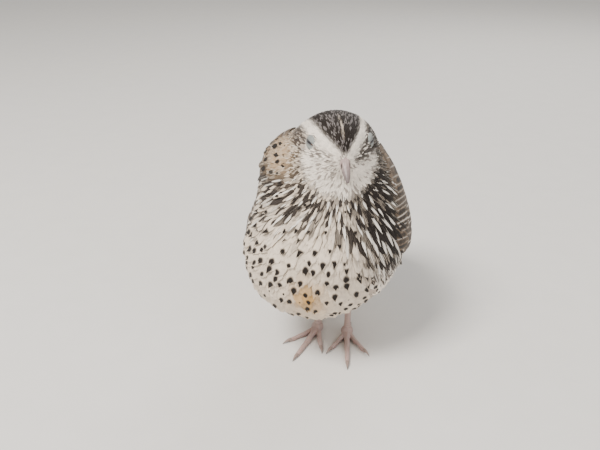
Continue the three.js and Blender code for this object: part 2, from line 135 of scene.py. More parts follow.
def melted(mesh, grain, easing):
    """One smooth closed surface round a mesh: its points in millimetres, their normals and its faces."""
    piece = as_object("melting", mesh)
    remesh = piece.modifiers.new("melt", "REMESH")
    remesh.mode = "VOXEL"
    remesh.voxel_size = grain * MM
    ease = piece.modifiers.new("ease", "SMOOTH")
    ease.factor = 0.5
    ease.iterations = easing
    body = bmesh.new()
    body.from_object(piece, bpy.context.evaluated_depsgraph_get())
    bpy.data.objects.remove(piece)
    left = set(body.verts)
    shells = []
    while left:
        shell = {left.pop()}
        front = list(shell)
        while front:
            near = {edge.other_vert(vert) for vert in front for edge in vert.link_edges} - shell
            shell |= near
            front = list(near)
        left -= shell
        shells.append(shell)
    largest = max(shells, key=len)
    bmesh.ops.delete(body, geom=[vert for vert in body.verts if vert not in largest], context="VERTS")
    body.verts.index_update()
    points = np.array([vert.co for vert in body.verts]) / MM
    normals = np.array([vert.normal for vert in body.verts])
    faces = [[vert.index for vert in face.verts] for face in body.faces]
    return points, normals, faces


def coat_depth(points):
    return FACE_COAT_DEPTH + (COAT_DEPTH - FACE_COAT_DEPTH) * ramp(
        np.linalg.norm(points - head_centre, axis=1), 17, 32
    )


outer_points, outer_normals, skin_faces = melted(flesh(), SKIN_GRAIN, SKIN_EASING)
skin_points = outer_points - outer_normals * coat_depth(outer_points)[:, None]
skin_tree = BVHTree.FromPolygons([Vector(point) for point in skin_points], skin_faces)


def on_skin(point):
    place, normal, _, _ = skin_tree.find_nearest(Vector(point))
    return place, normal


# Markings
# A silvery hen: white face and throat, cream brows on a dark crown, a breast with white streaks above and
# dark drops below, and a grey-brown back streaked with cream. Painted shade darkens the bird's left side,
# and a painted shadow lies under the warm bulge of the neck. The skin and every feather take them from here.

CREAM = np.array([0.74, 0.63, 0.51])
WHITE = np.array([0.90, 0.82, 0.72])
BUFF = np.array([0.62, 0.42, 0.24])
OCHRE = np.array([0.66, 0.38, 0.12])
DUSK = np.array([0.014, 0.010, 0.008])
GREY = np.array([0.065, 0.050, 0.043])
FLECK = np.array([0.19, 0.17, 0.165])
WARM_BULGE = dict(middle=(-23, -20, 98), widths=(9, 15, 9))
# A painted shadow: the dark patch just below the warm bulge stands for the shade that the puffed bulge casts
# on the breast.
BULGE_SHADOW = dict(middle=(-25, 0, 84), widths=(12, np.inf, 5.5))
OCHRE_STAIN = dict(middle=(-3, 0, 43), widths=(6, np.inf, 8))
EAR_PATCH = dict(middle=(13.5, 0, 1.5), widths=(4.5, 6, 4))
BILL_ROOT = np.array([0.0, -14.5, -1.6])
BILL_REACH_SCALES = np.array([1.0, 1.0, 1.08])
AXIS_FRONT = placed(0, -35, 64)
AXIS_REAR = placed(0, 68, 37)
axis_along = unit(AXIS_REAR - AXIS_FRONT)
axis_up = np.array([0.0, -axis_along[2], axis_along[1]])


def blended(first, second, share):
    return first + (second - first) * np.asarray(share)[..., None]


def bell(values, middle, width):
    return np.exp(-(((values - middle) / width) ** 2))


def blot(points, middle, widths):
    """A soft oval patch: how much of each place it covers."""
    return bell(points, np.array(middle), np.array(widths)).prod(axis=1)


def turn_of(points):
    """Degrees round the body's own axis from the ridge of the back."""
    out = points - AXIS_FRONT
    return np.degrees(np.arctan2(np.abs(out[:, 0]), out @ axis_up))


def brow_line(y):
    """How far from the middle of the head the pale brow runs, from the bill back to the nape."""
    return 0.6 + 12.6 * (1 - np.exp(-np.maximum(y + 18.5, 0) / 9.5))


def beige_share(points):
    """How much of a place belongs to the warm bulge of the neck's right side."""
    return np.clip(1.4 * blot(as_drawn(points), **WARM_BULGE), 0, 1)


def breast_reach(points):
    """Distance from the bill, stretched so that the streaked part of the breast ends in an arch."""
    aside = as_drawn(points)[:, 0] - 2
    stretch = 1 - np.where(aside > 0, 0.018, -0.012) * aside
    reach = np.linalg.norm((in_head(points) - BILL_ROOT) * BILL_REACH_SCALES, axis=1)
    return reach * np.maximum(stretch, 0.55)


def near_head(points):
    return 1 - ramp(np.linalg.norm(in_head(points) - [0, 2, 0], axis=1), 16, 21)


def body_markings(points, chance, spotted, streaked):
    """Ground colours, strengths of streak, drop and bars, and how dark a feather's sides are, on the body."""
    body = as_drawn(points)
    turn = turn_of(points)
    in_front = ramp(-body[:, 1], 4, 16)

    back_share = (1 - ramp(turn + 12 * (chance - 0.5), 66, 84)) * ramp(body[:, 1], -22, -10)
    upper = 1 - ramp(breast_reach(points) + 9 * (chance - 0.5), 29, 38)
    # Painted shade: on the bird's left side, away from the key lamp, the ground is darkened nearly to black,
    # though its white streaks are plumage.
    painted_shade_edge = 14 + 0.3 * np.maximum(84 - body[:, 2], 0)
    painted_shade_side = ramp(body[:, 0], painted_shade_edge - 5, painted_shade_edge + 5) * ramp(body[:, 2], 40, 52)
    flank = ramp(turn, 66, 84) * (1 - ramp(turn, 100, 122)) * (1 - in_front)
    plumes = ramp(body[:, 0], 17, 24) * (1 - ramp(body[:, 2], 46, 58)) * ramp(body[:, 2], 28, 36)
    beige = beige_share(points)
    bulge_shadow = blot(body, **BULGE_SHADOW) * in_front
    stain = blot(body, **OCHRE_STAIN) * in_front

    ground = np.tile(CREAM, (len(points), 1))
    dark = np.where(streaked, 0.0, np.where(chance < 0.5, 0.97, np.where(chance < 0.74, 0.5, 0.12)))
    ground = blended(ground, GREY * 0.5, upper * dark)
    dark = np.where(streaked, 0.15, np.where(chance < 0.85, 0.97, 0.4))
    ground = blended(ground, GREY * 0.4, painted_shade_side * dark)
    ground = blended(ground, WHITE, np.clip(upper + 0.65 * painted_shade_side, 0, 1) * streaked)
    ground = blended(ground, GREY * 2.2, flank * (0.35 + 0.5 * (chance < 0.45)))
    ground = blended(ground, np.where((chance < 0.6)[:, None], GREY * 3.8, WHITE), 0.8 * plumes)
    ground = blended(ground, blended(GREY * 0.9, BUFF * 0.62, 0.15 + 0.6 * chance), back_share)
    ground = blended(ground, OCHRE * 0.9, 0.95 * stain)
    ground = blended(ground, blended(BUFF * 0.72, CREAM * 0.8, 0.6 * chance), beige)
    # Paint the shadow under the bulge in dark grey.
    ground = blended(ground, GREY * 0.6, bulge_shadow * (chance < 0.85))

    lined = np.where(chance < 0.4, 0.9, 0.12)
    streak = np.clip(upper * streaked + painted_shade_side * streaked + back_share * lined + 0.6 * flank, 0, 1)
    streak = streak * (1 - 0.7 * beige)
    drop = np.clip((1 - upper * streaked) * (1 - back_share) * (1 - flank) + beige, 0, 1) * spotted
    bars = np.clip(back_share + 0.6 * flank, 0, 1) * 0.8
    sides = upper * np.where(streaked, 1.0, 0.5 * (chance < 0.5))
    # The painted shade on the bird's left side also darkens its feathers' sides.
    sides = sides + painted_shade_side + 0.9 * back_share + 0.6 * flank
    sides = np.clip(sides + 0.8 * plumes * (chance < 0.5), 0, 1) * (1 - 0.85 * beige)
    drop = drop * (1 - plumes * (chance < 0.7)) * (1 - near_head(points))
    drop = drop * (1 - ramp(body[:, 1], -8, 4) * (1 - ramp(body[:, 2], 26, 33)))
    low = 1 - ramp(body[:, 2], 38, 52)
    drop = drop * (1 - low * np.where(chance < 0.35, 1.0, 0.2))
    streak = streak * (1 - 0.9 * np.clip(drop * 3, 0, 1))
    return ground, np.stack([streak, drop, bars], -1), sides


def head_markings(points, chance, ground):
    """The ground with the head's own colours over it, and how far a place is plain of streaks and spots."""
    head = in_head(points)
    side = np.abs(head[:, 0])
    on_left = head[:, 0] > 0
    off_brow = side - brow_line(head[:, 1]) * np.where(on_left, 0.86, 0.97)
    above = ramp(head[:, 2] + 0.3 * head[:, 1], -5, -2)
    crown = ramp(-off_brow, 0.6, 1.5) * above * (1 - ramp(head[:, 1], 8, 16))
    brow = bell(off_brow, np.where(on_left, 0.1, 0.3), np.where(on_left, 1.0, 1.4)) * above
    brow = brow * (1 - ramp(head[:, 1], 9, 15))
    parting = bell(side, 0, 0.3) * crown * ramp(head[:, 1], -14, -10) * (1 - ramp(head[:, 1], -4, 3))
    dusty = ramp(off_brow, 0.9, 2.4) * ramp(head[:, 2], -4.5, -1) * (1 - ramp(head[:, 1], 2, 8))
    lore = dusty * np.where(on_left, 0.95 * (chance < 0.82), 0.6 * (chance < 0.5))
    ear = blot(np.c_[side, head[:, 1:]], **EAR_PATCH)
    from_bill = np.linalg.norm((head - BILL_ROOT) * BILL_REACH_SCALES, axis=1)
    from_bill = from_bill * (1 + 0.006 * np.maximum(head[:, 0], 0))
    bib = 1 - ramp(from_bill + 3 * (chance - 0.5), 16.5, 20.5)
    nape = near_head(points) * ramp(head[:, 1], 1, 8) * ramp(head[:, 2], -9, -3)

    ground = blended(ground, blended(WHITE, GREY * 2.4, 0.7 * (chance < 0.2)), bib)
    ground = blended(ground, GREY * np.where(on_left, 1.2, 2.6)[:, None], ear * np.where(on_left, 1.0, 0.5))
    ground = blended(ground, GREY * 0.8, nape)
    flecked = blended(DUSK * 1.2, FLECK, (chance > 0.7) * (chance - 0.4) * 1.6)
    ground = blended(ground, flecked, crown)
    ground = blended(ground, CREAM * 0.75, 0.8 * parting)
    ground = blended(ground, GREY * 0.7, lore)
    ground = blended(ground, WHITE * 0.97, np.clip(1.4 * brow, 0, 1))
    return ground, np.clip(bib + brow + crown + nape * 0.4, 0, 1)


def markings(points, chance, spotted=1.0, streaked=1.0):
    ground, strengths, sides = body_markings(points, chance, spotted, streaked)
    ground, plain = head_markings(points, chance, ground)
    return ground, strengths * (1 - plain)[:, None], sides * (1 - plain)


class Recipe:
    """A material's nodes, written one after another."""

    def __init__(self, name):
        self.material = bpy.data.materials.new(name)
        self.material.use_nodes = True
        self.nodes = self.material.node_tree.nodes
        self.links = self.material.node_tree.links
        self.surface = self.nodes["Principled BSDF"]

    def set(self, **values):
        for socket, value in values.items():
            self.surface.inputs[socket.replace("_", " ")].default_value = value

    def plug(self, value, socket):
        if isinstance(value, bpy.types.NodeSocket):
            self.links.new(value, socket)
        else:
            socket.default_value = value

    def math(self, operation, first, second=0.0, third=0.0, clamp=False):
        node = self.nodes.new("ShaderNodeMath")
        node.operation = operation
        node.use_clamp = clamp
        for value, socket in zip((first, second, third), node.inputs):
            self.plug(value, socket)
        return node.outputs[0]

    def times(self, first, second, clamp=False):
        return self.math("MULTIPLY", first, second, clamp=clamp)

    def plus(self, first, second):
        return self.math("ADD", first, second)

    def less(self, value):
        return self.math("SUBTRACT", 1.0, value)

    def ranged(self, value, factor, offset):
        return self.math("MULTIPLY_ADD", value, factor, offset)

    def attribute(self, name, output="Vector"):
        node = self.nodes.new("ShaderNodeAttribute")
        node.attribute_name = name
        return node.outputs[output]

    def split(self, vector):
        node = self.nodes.new("ShaderNodeSeparateXYZ")
        self.links.new(vector, node.inputs[0])
        return node.outputs[0], node.outputs[1], node.outputs[2]

    def noise(self, vector, scale, detail=2.0, roughness=0.5, stretch=None):
        if stretch:
            mapping = self.nodes.new("ShaderNodeMapping")
            mapping.inputs["Scale"].default_value = stretch
            self.links.new(vector, mapping.inputs["Vector"])
            vector = mapping.outputs[0]
        node = self.nodes.new("ShaderNodeTexNoise")
        self.links.new(vector, node.inputs["Vector"])
        node.inputs["Scale"].default_value = scale
        node.inputs["Detail"].default_value = detail
        node.inputs["Roughness"].default_value = roughness
        return node.outputs["Fac"]

    def here(self):
        return self.nodes.new("ShaderNodeTexCoord").outputs["Object"]

    def step(self, value, start, end):
        node = self.nodes.new("ShaderNodeMapRange")
        node.interpolation_type = "SMOOTHSTEP"
        self.plug(value, node.inputs["Value"])
        self.plug(start, node.inputs["From Min"])
        self.plug(end, node.inputs["From Max"])
        return node.outputs["Result"]

    def mix(self, share, first, second):
        node = self.nodes.new("ShaderNodeMix")
        node.data_type = "RGBA"
        for value, socket in zip((share, first, second), (node.inputs[0], node.inputs[6], node.inputs[7])):
            self.plug(value, socket)
        return node.outputs[2]

    def shade(self, colour, factor):
        node = self.nodes.new("ShaderNodeVectorMath")
        node.operation = "SCALE"
        self.plug(colour, node.inputs[0])
        self.plug(factor, node.inputs["Scale"])
        return node.outputs[0]

    def colour(self, value):
        self.plug(value, self.surface.inputs["Base Color"])

    def bump(self, height, distance, strength=1.0):
        node = self.nodes.new("ShaderNodeBump")
        node.inputs["Strength"].default_value = strength
        node.inputs["Distance"].default_value = distance
        self.links.new(height, node.inputs["Height"])
        self.links.new(node.outputs[0], self.surface.inputs["Normal"])


def skin_material():
    recipe = Recipe("skin")
    down = recipe.noise(recipe.here(), 900, detail=4)
    recipe.colour(recipe.shade(recipe.attribute("ground", "Color"), recipe.ranged(down, 0.5, 0.6)))
    recipe.set(Roughness=0.95, Specular_IOR_Level=0.1)
    recipe.bump(down, 0.0006)
    return recipe.material


def mesh_of(name, points, faces, material):
    mesh = bpy.data.meshes.new(name)
    mesh.from_pydata((np.asarray(points) * MM).tolist(), [], faces)
    mesh.materials.append(material)
    mesh.polygons.foreach_set("use_smooth", [True] * len(mesh.polygons))
    return mesh


def colour_points(mesh, name, colours):
    layer = mesh.attributes.new(name, "FLOAT_COLOR", "POINT")
    layer.data.foreach_set("color", np.c_[colours, np.ones(len(colours))].astype(np.float32).ravel())


skin_mesh = mesh_of("skin", skin_points, skin_faces, skin_material())
colour_points(skin_mesh, "ground", markings(skin_points, np.full(len(skin_points), 0.5))[0])
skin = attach(as_object("skin", skin_mesh), "root")
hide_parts("torso", "neck", "head", "thigh_left", "thigh_right")

# Coat
# Several thousand small contour feathers, each a thin cupped vane with a frayed tip, lying like tiles away
# from the bill. They are smallest on the face and longest on the flanks, and each has its own markings.

EYE_CLEARING = 3.4
EYE_BARE = 2.5
EYE_FRONT = 3.6
EYE_LOOK = np.array([0.94, -0.34, 0.08])
BILL_CLEARING = 2.6
BILL_CLEARING_DROP = np.array([0.0, 0.0, 0.4])
BODY_LIE = np.array([0.0, 0.85, -0.53])
ROOT_ROOMS = (0.45, 0.6, 1.5)
FEATHER_LENGTHS = (1.5, 3.0, 9.5)
FEATHER_BREADTHS = (0.5, 0.68, 3.3)
SHAFT_WIDTHS = (0.08, 0.1, 0.25)
BAR_WAVES = 4.0
SPOT_ROOMS = (2.8, 4.8)
STREAK_ROOMS = (2.7, 3.8)
FACE_VANES = dict(stations=5, across=5, cup=0.12, fray=0.2, tip=0.25, taper=0.6, thickness=0.05)
BODY_VANES = dict(stations=7, across=7, cup=0.08, fray=0.22, tip=0.28, taper=0.5, thickness=0.07)

draw = np.random.default_rng(11)


def lie_of_coat(points, normals):
    """Which way feathers point: away from the bill on the head, down the breast, and back along the body."""
    bill = on_head(*BILL_ROOT)
    away = unit(points - bill)
    share = ramp(np.linalg.norm(points - bill, axis=1), 28, 72)
    flow = away + (BODY_LIE - away) * share[:, None]
    flow -= (flow * normals).sum(1, keepdims=True) * normals
    return unit(flow)


def sized(points, at_bill, on_face, on_body):
    """A size that grows from the bill over the face to the body."""
    reach = np.linalg.norm(points - head_centre, axis=1)
    from_bill = np.linalg.norm(points - on_head(*BILL_ROOT), axis=1)
    return at_bill + (on_face - at_bill) * ramp(from_bill, 3, 13) + (on_body - on_face) * ramp(reach, 15, 42)


def spaced(points, rooms, cell=8.0):
    """Which of some places to keep, in their order, so that none is nearer to another than its room."""
    cells = {}
    kept = []
    keys = np.floor(points / cell).astype(int)
    near = [(x, y, z) for x in (-1, 0, 1) for y in (-1, 0, 1) for z in (-1, 0, 1)]
    for i, (key, point, room) in enumerate(zip(keys.tolist(), points.tolist(), rooms.tolist())):
        around = (cells.get((key[0] + x, key[1] + y, key[2] + z), ()) for x, y, z in near)
        if all(math.dist(point, other) >= room for cellful in around for other in cellful):
            cells.setdefault(tuple(key), []).append(point)
            kept.append(i)
    return np.array(kept)


def scatter(rooms_at):
    """Roots spread evenly over the skin, closer where the feathers are smaller."""
    corners = [face[:3] for face in skin_faces] + [[f[0], f[2], f[3]] for f in skin_faces if len(f) > 3]
    corners = np.array(corners)
    a, b, c = (skin_points[corners[:, i]] for i in range(3))
    area = np.linalg.norm(np.cross(b - a, c - a), axis=1) / 2
    weight = area / rooms_at((a + b + c) / 3) ** 2
    tries = int(weight.sum() * 5)
    chosen = draw.choice(len(corners), tries, p=weight / weight.sum())
    u, v = draw.random((2, tries, 1))
    over = u + v > 1
    u, v = np.where(over, 1 - u, u), np.where(over, 1 - v, v)
    points = a[chosen] + u * (b[chosen] - a[chosen]) + v * (c[chosen] - a[chosen])
    return points[spaced(points, rooms_at(points), cell=2.5)]


def eye_distance(points, side):
    """How far a place is from the middle of an eye's opening."""
    look = unit(EYE_LOOK * [side, 1, 1])
    return np.linalg.norm(in_head(points) - (EYE_PLACE * [side, 1, 1] + look * EYE_FRONT), axis=1)


def settled(points):
    pairs = [on_skin(point) for point in points]
    return np.array([p for p, _ in pairs]), np.array([n for _, n in pairs])


def lines_over_skin(places, normals, headings, lengths, stations):
    """Shaft lines that start at their roots and keep to the skin: places, normals and headings along each."""
    count = len(places)
    centres = np.zeros((count, stations, 3))
    outs = np.zeros((count, stations, 3))
    ways = np.zeros((count, stations, 3))
    for i in range(count):
        point, normal, way = Vector(places[i]), Vector(normals[i]), Vector(headings[i])
        stride = lengths[i] / (stations - 1)
        for k in range(stations):
            centres[i, k], outs[i, k], ways[i, k] = point, normal, way
            point, normal = on_skin(point + way * stride)
            way = (way - normal * way.dot(normal)).normalized()
    return centres, outs, ways


def number_points(mesh, name, values):
    layer = mesh.attributes.new(name, "FLOAT", "POINT")
    layer.data.foreach_set("value", np.asarray(values, dtype=np.float32))


def triple_points(mesh, name, values):
    layer = mesh.attributes.new(name, "FLOAT_VECTOR", "POINT")
    layer.data.foreach_set("vector", np.asarray(values, dtype=np.float32).ravel())


def vanes(name, shafts, breadths, lifts, material, colours, across, cup, fray, tip, taper, thickness,
          patches=None):
    """Joined feathers, each closed by an upper and an under face that share their rim."""
    centres, outs, ways = shafts
    count, stations = centres.shape[:2]
    v = np.linspace(0, 1, stations)
    u = np.linspace(-1, 1, across)
    ends = 1 - tip * np.abs(u) ** 2.4 - fray * draw.random((count, across))
    reach = v[None, :, None] * (1 + (ends[:, None, :] - 1) * v[None, :, None] ** 3)
    spot = reach * (stations - 1)
    before = np.minimum(spot.astype(int), stations - 2)
    share = (spot - before)[..., None]
    each = np.arange(count)[:, None, None]

    def carried(values):
        return values[each, before] * (1 - share) + values[each, before + 1] * share

    place, out = carried(centres), unit(carried(outs))
    side = carried(np.cross(outs, ways))
    growth = 0.35 + 0.65 * np.sin(np.clip(reach / 0.55, 0, 1) * math.pi / 2)
    half = breadths[:, None, None] / 2 * growth * (1 - taper * ramp(reach, 0.5, 1))
    height = lifts[0][:, None, None] + (lifts[1] - lifts[0])[:, None, None] * reach**0.85
    height = height + cup * half * (1 - u**2)
    under = thickness * (1 - u**2) * (1 - v[:, None] ** 6)
    sheets = []
    for depth in (0, under):
        offset = side * (half * u)[..., None] + out * (height - depth)[..., None]
        sheets.append((place + offset).reshape(count, -1, 3))
    points = np.concatenate(sheets, 1).reshape(-1, 3)

    a = (np.arange(stations - 1)[:, None] * across + np.arange(across - 1)).ravel()
    quad = np.stack([a, a + across, a + across + 1, a + 1], -1)
    pattern = np.concatenate([quad, quad[:, ::-1] + stations * across])
    per = 2 * stations * across
    faces = (pattern[None] + (np.arange(count) * per)[:, None, None]).reshape(-1, 4)
    mesh = bpy.data.meshes.new(name)
    mesh.vertices.add(len(points))
    mesh.vertices.foreach_set("co", (points * MM).astype(np.float32).ravel())
    mesh.loops.add(faces.size)
    mesh.loops.foreach_set("vertex_index", faces.astype(np.int32).ravel())
    mesh.polygons.add(len(faces))
    mesh.polygons.foreach_set("loop_start", np.arange(0, faces.size, 4, dtype=np.int32))
    mesh.update(calc_edges=True)
    mesh.polygons.foreach_set("use_smooth", np.ones(len(faces), bool))
    mesh.materials.append(material)

    ground, strengths, sides, chance, shaft = colours
    u_all = np.tile(u, 2 * stations * count)
    v_all = np.tile(np.repeat(v, across), 2 * count)
    colour_points(mesh, "ground", np.repeat(ground, per, 0))
    number_points(mesh, "shaft", np.repeat(shaft, per))
    triple_points(mesh, "vane", np.stack([u_all, v_all, np.repeat(chance * 40, per)], -1))
    triple_points(mesh, "strengths", np.repeat(strengths, per, 0))
    half_all = np.concatenate([half.reshape(count, -1)] * 2, 1).ravel()
    length_all = np.repeat(np.linalg.norm(np.diff(centres, axis=1), axis=-1).sum(1), per)
    triple_points(mesh, "widths", np.stack([half_all, np.repeat(sides, per), length_all], -1))

    if patches is None:
        corner = np.stack([np.arange(count) / count, np.zeros(count)], -1)
        extent = np.array([0.96 / count, 0.98])
    else:
        corner, extent = patches - 0.0015, np.array([0.003, 0.003])
    patch = np.repeat(corner, per, 0) + np.stack([u_all * 0.5 + 0.5, v_all], -1) * extent
    layer = mesh.uv_layers.new(name="OFBake")
    layer.data.foreach_set("uv", patch[faces.ravel()].astype(np.float32).ravel())

    soft = unit(out + side * (1.6 * cup * u)[None, None, :, None]).reshape(count, -1, 3)
    normals = np.concatenate([soft, -out.reshape(count, -1, 3)], 1).reshape(-1, 3)
    mesh.normals_split_custom_set_from_vertices(normals.tolist())
    return mesh


def unwrapped(points):
    """Where roots lie on the skin's unwrap: head and body, each as a left and a right disc of true area."""
    on_neck = (points - head_centre)[:, 2] < -12
    centre = np.where(on_neck[:, None], placed(0, 2, 58), head_centre)
    way = unit(points - centre)
    side = np.where(way[:, 0] > 0, 1, -1)
    reach = np.sqrt(1 - np.abs(way[:, 0])) * 0.235
    angle = np.arctan2(way[:, 2], way[:, 1] * side)
    middle = np.stack([0.5 + 0.25 * side, np.where(on_neck, 0.25, 0.75)], -1)
    return middle + reach[:, None] * np.stack([np.cos(angle), np.sin(angle)], -1)


def feather_material(name, roughness):
    """Barbs, shaft and markings in each vane's own directions: u across it and v towards its tip."""
    recipe = Recipe(name)
    u, v, seed = recipe.split(recipe.attribute("vane"))
    streak, drop, bars = recipe.split(recipe.attribute("strengths"))
    half, sides, length = recipe.split(recipe.attribute("widths"))
    shaft_width = recipe.attribute("shaft", "Fac")
    mark = (*DUSK, 1)
    out = recipe.math("ABSOLUTE", u)
    out_mm = recipe.times(out, half)
    wander = recipe.noise(recipe.here(), 650, detail=3)
    ragged = recipe.ranged(wander, 1.0, -0.5)
    coarse = recipe.noise(recipe.here(), 170, detail=2)

    barb = recipe.ranged(out, -0.3, v)
    lines = recipe.math("SINE", recipe.ranged(barb, 190.0, seed))
    tone = recipe.ranged(lines, 0.08, recipe.ranged(wander, 0.55, 0.52))
    tone = recipe.plus(tone, recipe.ranged(coarse, 0.5, -0.05))
    colour = recipe.shade(recipe.attribute("ground", "Color"), tone)

    edge = recipe.plus(out, recipe.times(ragged, 0.6))
    beside = recipe.times(recipe.step(edge, 0.12, 0.3), recipe.less(recipe.step(edge, 0.62, 0.9)))
    lengthwise = recipe.times(recipe.step(v, 0.2, 0.45), recipe.less(recipe.step(v, 0.86, 1.0)))
    beside = recipe.times(beside, lengthwise)
    colour = recipe.mix(recipe.times(beside, sides, clamp=True), colour, mark)

    wave = recipe.plus(v, recipe.times(ragged, 0.06))
    wave = recipe.math("SINE", recipe.ranged(wave, BAR_WAVES * math.tau, seed))
    colour = recipe.mix(recipe.times(recipe.step(wave, 0.1, 0.7), recipe.times(bars, 0.6)), colour, mark)

    across = recipe.math("DIVIDE", recipe.plus(out_mm, recipe.times(ragged, 0.6)), 1.15)
    from_tip = recipe.times(recipe.plus(v, -1.0), length)
    along = recipe.math("DIVIDE", recipe.plus(from_tip, 2.1), 1.75)
    squares = recipe.plus(recipe.math("POWER", across, 2), recipe.math("POWER", along, 2))
    squares = recipe.math("DIVIDE", squares, recipe.math("POWER", drop, 2))
    squares = recipe.plus(squares, recipe.times(lines, 0.12))
    spot = recipe.less(recipe.step(squares, 0.35, 1.25))
    colour = recipe.mix(recipe.times(spot, recipe.step(drop, 0.1, 0.3)), colour, mark)

    line = recipe.plus(out_mm, recipe.times(ragged, 0.35))
    shaft = recipe.less(recipe.step(line, recipe.times(shaft_width, 0.6), recipe.times(shaft_width, 1.25)))
    shaft = recipe.times(shaft, recipe.step(v, 0.1, 0.3))
    colour = recipe.mix(recipe.times(shaft, streak, clamp=True), colour, (0.86, 0.81, 0.73, 1))

    recipe.colour(colour)
    recipe.set(Roughness=roughness, Specular_IOR_Level=0.15, Sheen_Weight=0.04)
    recipe.bump(lines, 0.00005, 0.5)
    return recipe.material


plumage = feather_material("plumage", 0.62)
roots, root_normals = settled(scatter(lambda points: sized(points, *ROOT_ROOMS)))
clear = (eye_distance(roots, 1) > EYE_CLEARING) & (eye_distance(roots, -1) > EYE_CLEARING)
clear &= np.linalg.norm(in_head(roots) - BILL_ROOT + BILL_CLEARING_DROP, axis=1) > BILL_CLEARING
roots, root_normals = roots[clear], root_normals[clear]
root_headings = lie_of_coat(roots, root_normals)
spotted = np.zeros(len(roots), bool)
spotted[spaced(roots, draw.uniform(*SPOT_ROOMS, len(roots)))] = True
streaked = np.zeros(len(roots), bool)
streaked[spaced(roots, draw.uniform(*STREAK_ROOMS, len(roots)))] = True
near_bill = 1 - ramp(breast_reach(roots), 30, 39)
near_bill *= ramp(coat_depth(roots), 1.2, 2) * (1 - beige_share(roots))


def coat_piece(name, slot, chosen, stations, **form):
    """One tract of the coat; long narrow streaked feathers near the bill, broad spotted ones below."""
    places, normals, headings = roots[chosen], root_normals[chosen], root_headings[chosen]
    count = len(places)
    chance = draw.random(count)
    long = near_bill[chosen] * streaked[chosen]
    twist = draw.normal(0, 0.1, count)
    headings = unit(headings + np.cross(normals, headings) * twist[:, None])
    sizes = 1 + draw.normal(0, 0.08, count)
    depth = coat_depth(places)
    proud = 0.35 * streaked[chosen] + (0.8 + 0.5 * near_bill[chosen]) * spotted[chosen] * (1 - long)
    proud = proud * ramp(depth, 1.2, 2)
    lifts = (0.15 * depth, depth * (0.85 + draw.normal(0, 0.08, count)) + proud)
    lengths = sized(places, *FEATHER_LENGTHS) * sizes * (1 + 0.35 * long)
    for side in (-1, 1):
        to_eye = eye_distance(places, side)
        ahead = eye_distance(places + headings, side) < to_eye - 0.3
        lengths = np.where(ahead, np.minimum(lengths, np.maximum(to_eye - EYE_BARE, 0.8)), lengths)
    shafts = lines_over_skin(places, normals, headings, lengths, stations)
    middle = shafts[0][:, int(stations * 0.75)]
    wide = 1 + 0.6 * spotted[chosen] * (1 - near_bill[chosen]) - 0.4 * near_bill[chosen] - 0.1 * long
    breadths = sized(places, *FEATHER_BREADTHS) * sizes * wide
    drops = spotted[chosen] * draw.uniform(0.95, 1.5, count) * np.clip(breadths / 2.7, 0, 1)
    marks = markings(middle, chance, drops, streaked[chosen])
    shaft = sized(places, *SHAFT_WIDTHS) + 0.3 * long
    mesh = vanes(
        name, shafts, breadths, lifts, plumage, (*marks, chance, shaft), patches=unwrapped(places), **form
    )
    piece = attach(as_object(name, mesh), "root")


drawn = as_drawn(roots)
on_face = np.linalg.norm(in_head(roots), axis=1) < 19
front = ~on_face & (drawn[:, 1] < 0)
tracts = {
    "face": on_face & (in_head(roots)[:, 2] < 3),
    "crown": on_face & (in_head(roots)[:, 2] >= 3),
    "neck": front & (drawn[:, 2] >= 74),
    "breast": front & (drawn[:, 2] >= 48) & (drawn[:, 2] < 74),
    "belly": front & (drawn[:, 2] < 48),
    "back": ~on_face & ~front & (drawn[:, 2] >= 52),
    "rear": ~on_face & ~front & (drawn[:, 2] < 52),
}
for tract, chosen in tracts.items():
    form = FACE_VANES if tract in ("face", "crown") else BODY_VANES
    slot = "head_plumage" if tract in ("face", "crown") else "breast_plumage"
    for label, half in (("left", drawn[:, 0] > 0), ("right", drawn[:, 0] <= 0)):
        coat_piece(f"{tract}_feathers_{label}", slot, chosen & half, **form)

# Wings
# Folded wings: flight feathers and the rows of coverts over them, lying like tiles on the flanks.
# Each feather is a thin vane of its own that follows the body, and its tier stands over the tier below.

WING_STATIONS = 14
WING_VANES = dict(across=9, cup=0.1, fray=0.03, tip=0.12, taper=0.15, thickness=0.14)
AXIS_CLEARANCE = 70
WING_TIERS = {
    "primaries": dict(
        count=5, breadth=8.6, under=1.5, over=3.2,
        roots=((0.50, 60), (0.46, 76)), tips=((0.86, 56), (0.76, 74)),
    ),
    "secondaries": dict(
        count=9, breadth=9.0, under=1.3, over=3.5,
        roots=((0.36, 55), (0.33, 92)), tips=((0.76, 52), (0.55, 91)),
    ),
    "tertials": dict(
        count=4, breadth=10.5, under=1.2, over=4.0,
        roots=((0.30, 40), (0.30, 51)), tips=((0.79, 37), (0.71, 53)),
    ),
    "greater_coverts": dict(
        count=10, breadth=7.8, under=0.8, over=3.9,
        roots=((0.26, 53), (0.24, 93)), tips=((0.52, 49), (0.43, 90)),
    ),
    "median_coverts": dict(
        count=10, breadth=7.2, under=0.4, over=4.0,
        roots=((0.20, 52), (0.17, 91)), tips=((0.40, 49), (0.34, 89)),
    ),
    "lesser_coverts": dict(
        count=10, breadth=6.8, under=0.3, over=3.7,
        roots=((0.14, 51), (0.11, 88)), tips=((0.31, 49), (0.26, 87)),
    ),
    "shoulder_coverts": dict(
        count=10, breadth=6.2, under=0.2, over=3.0,
        roots=((0.09, 50), (0.06, 86)), tips=((0.23, 49), (0.18, 85)),
    ),
    "rear_scapulars": dict(
        count=5, breadth=9.4, under=0.9, over=4.5,
        roots=((0.28, 28), (0.24, 50)), tips=((0.62, 28), (0.47, 51)),
    ),
    "middle_scapulars": dict(
        count=6, breadth=8.0, under=0.5, over=4.3,
        roots=((0.19, 27), (0.16, 50)), tips=((0.46, 28), (0.36, 50)),
    ),
    "front_scapulars": dict(
        count=6, breadth=7.2, under=0.2, over=3.6,
        roots=((0.10, 26), (0.08, 50)), tips=((0.32, 27), (0.26, 50)),
    ),
}


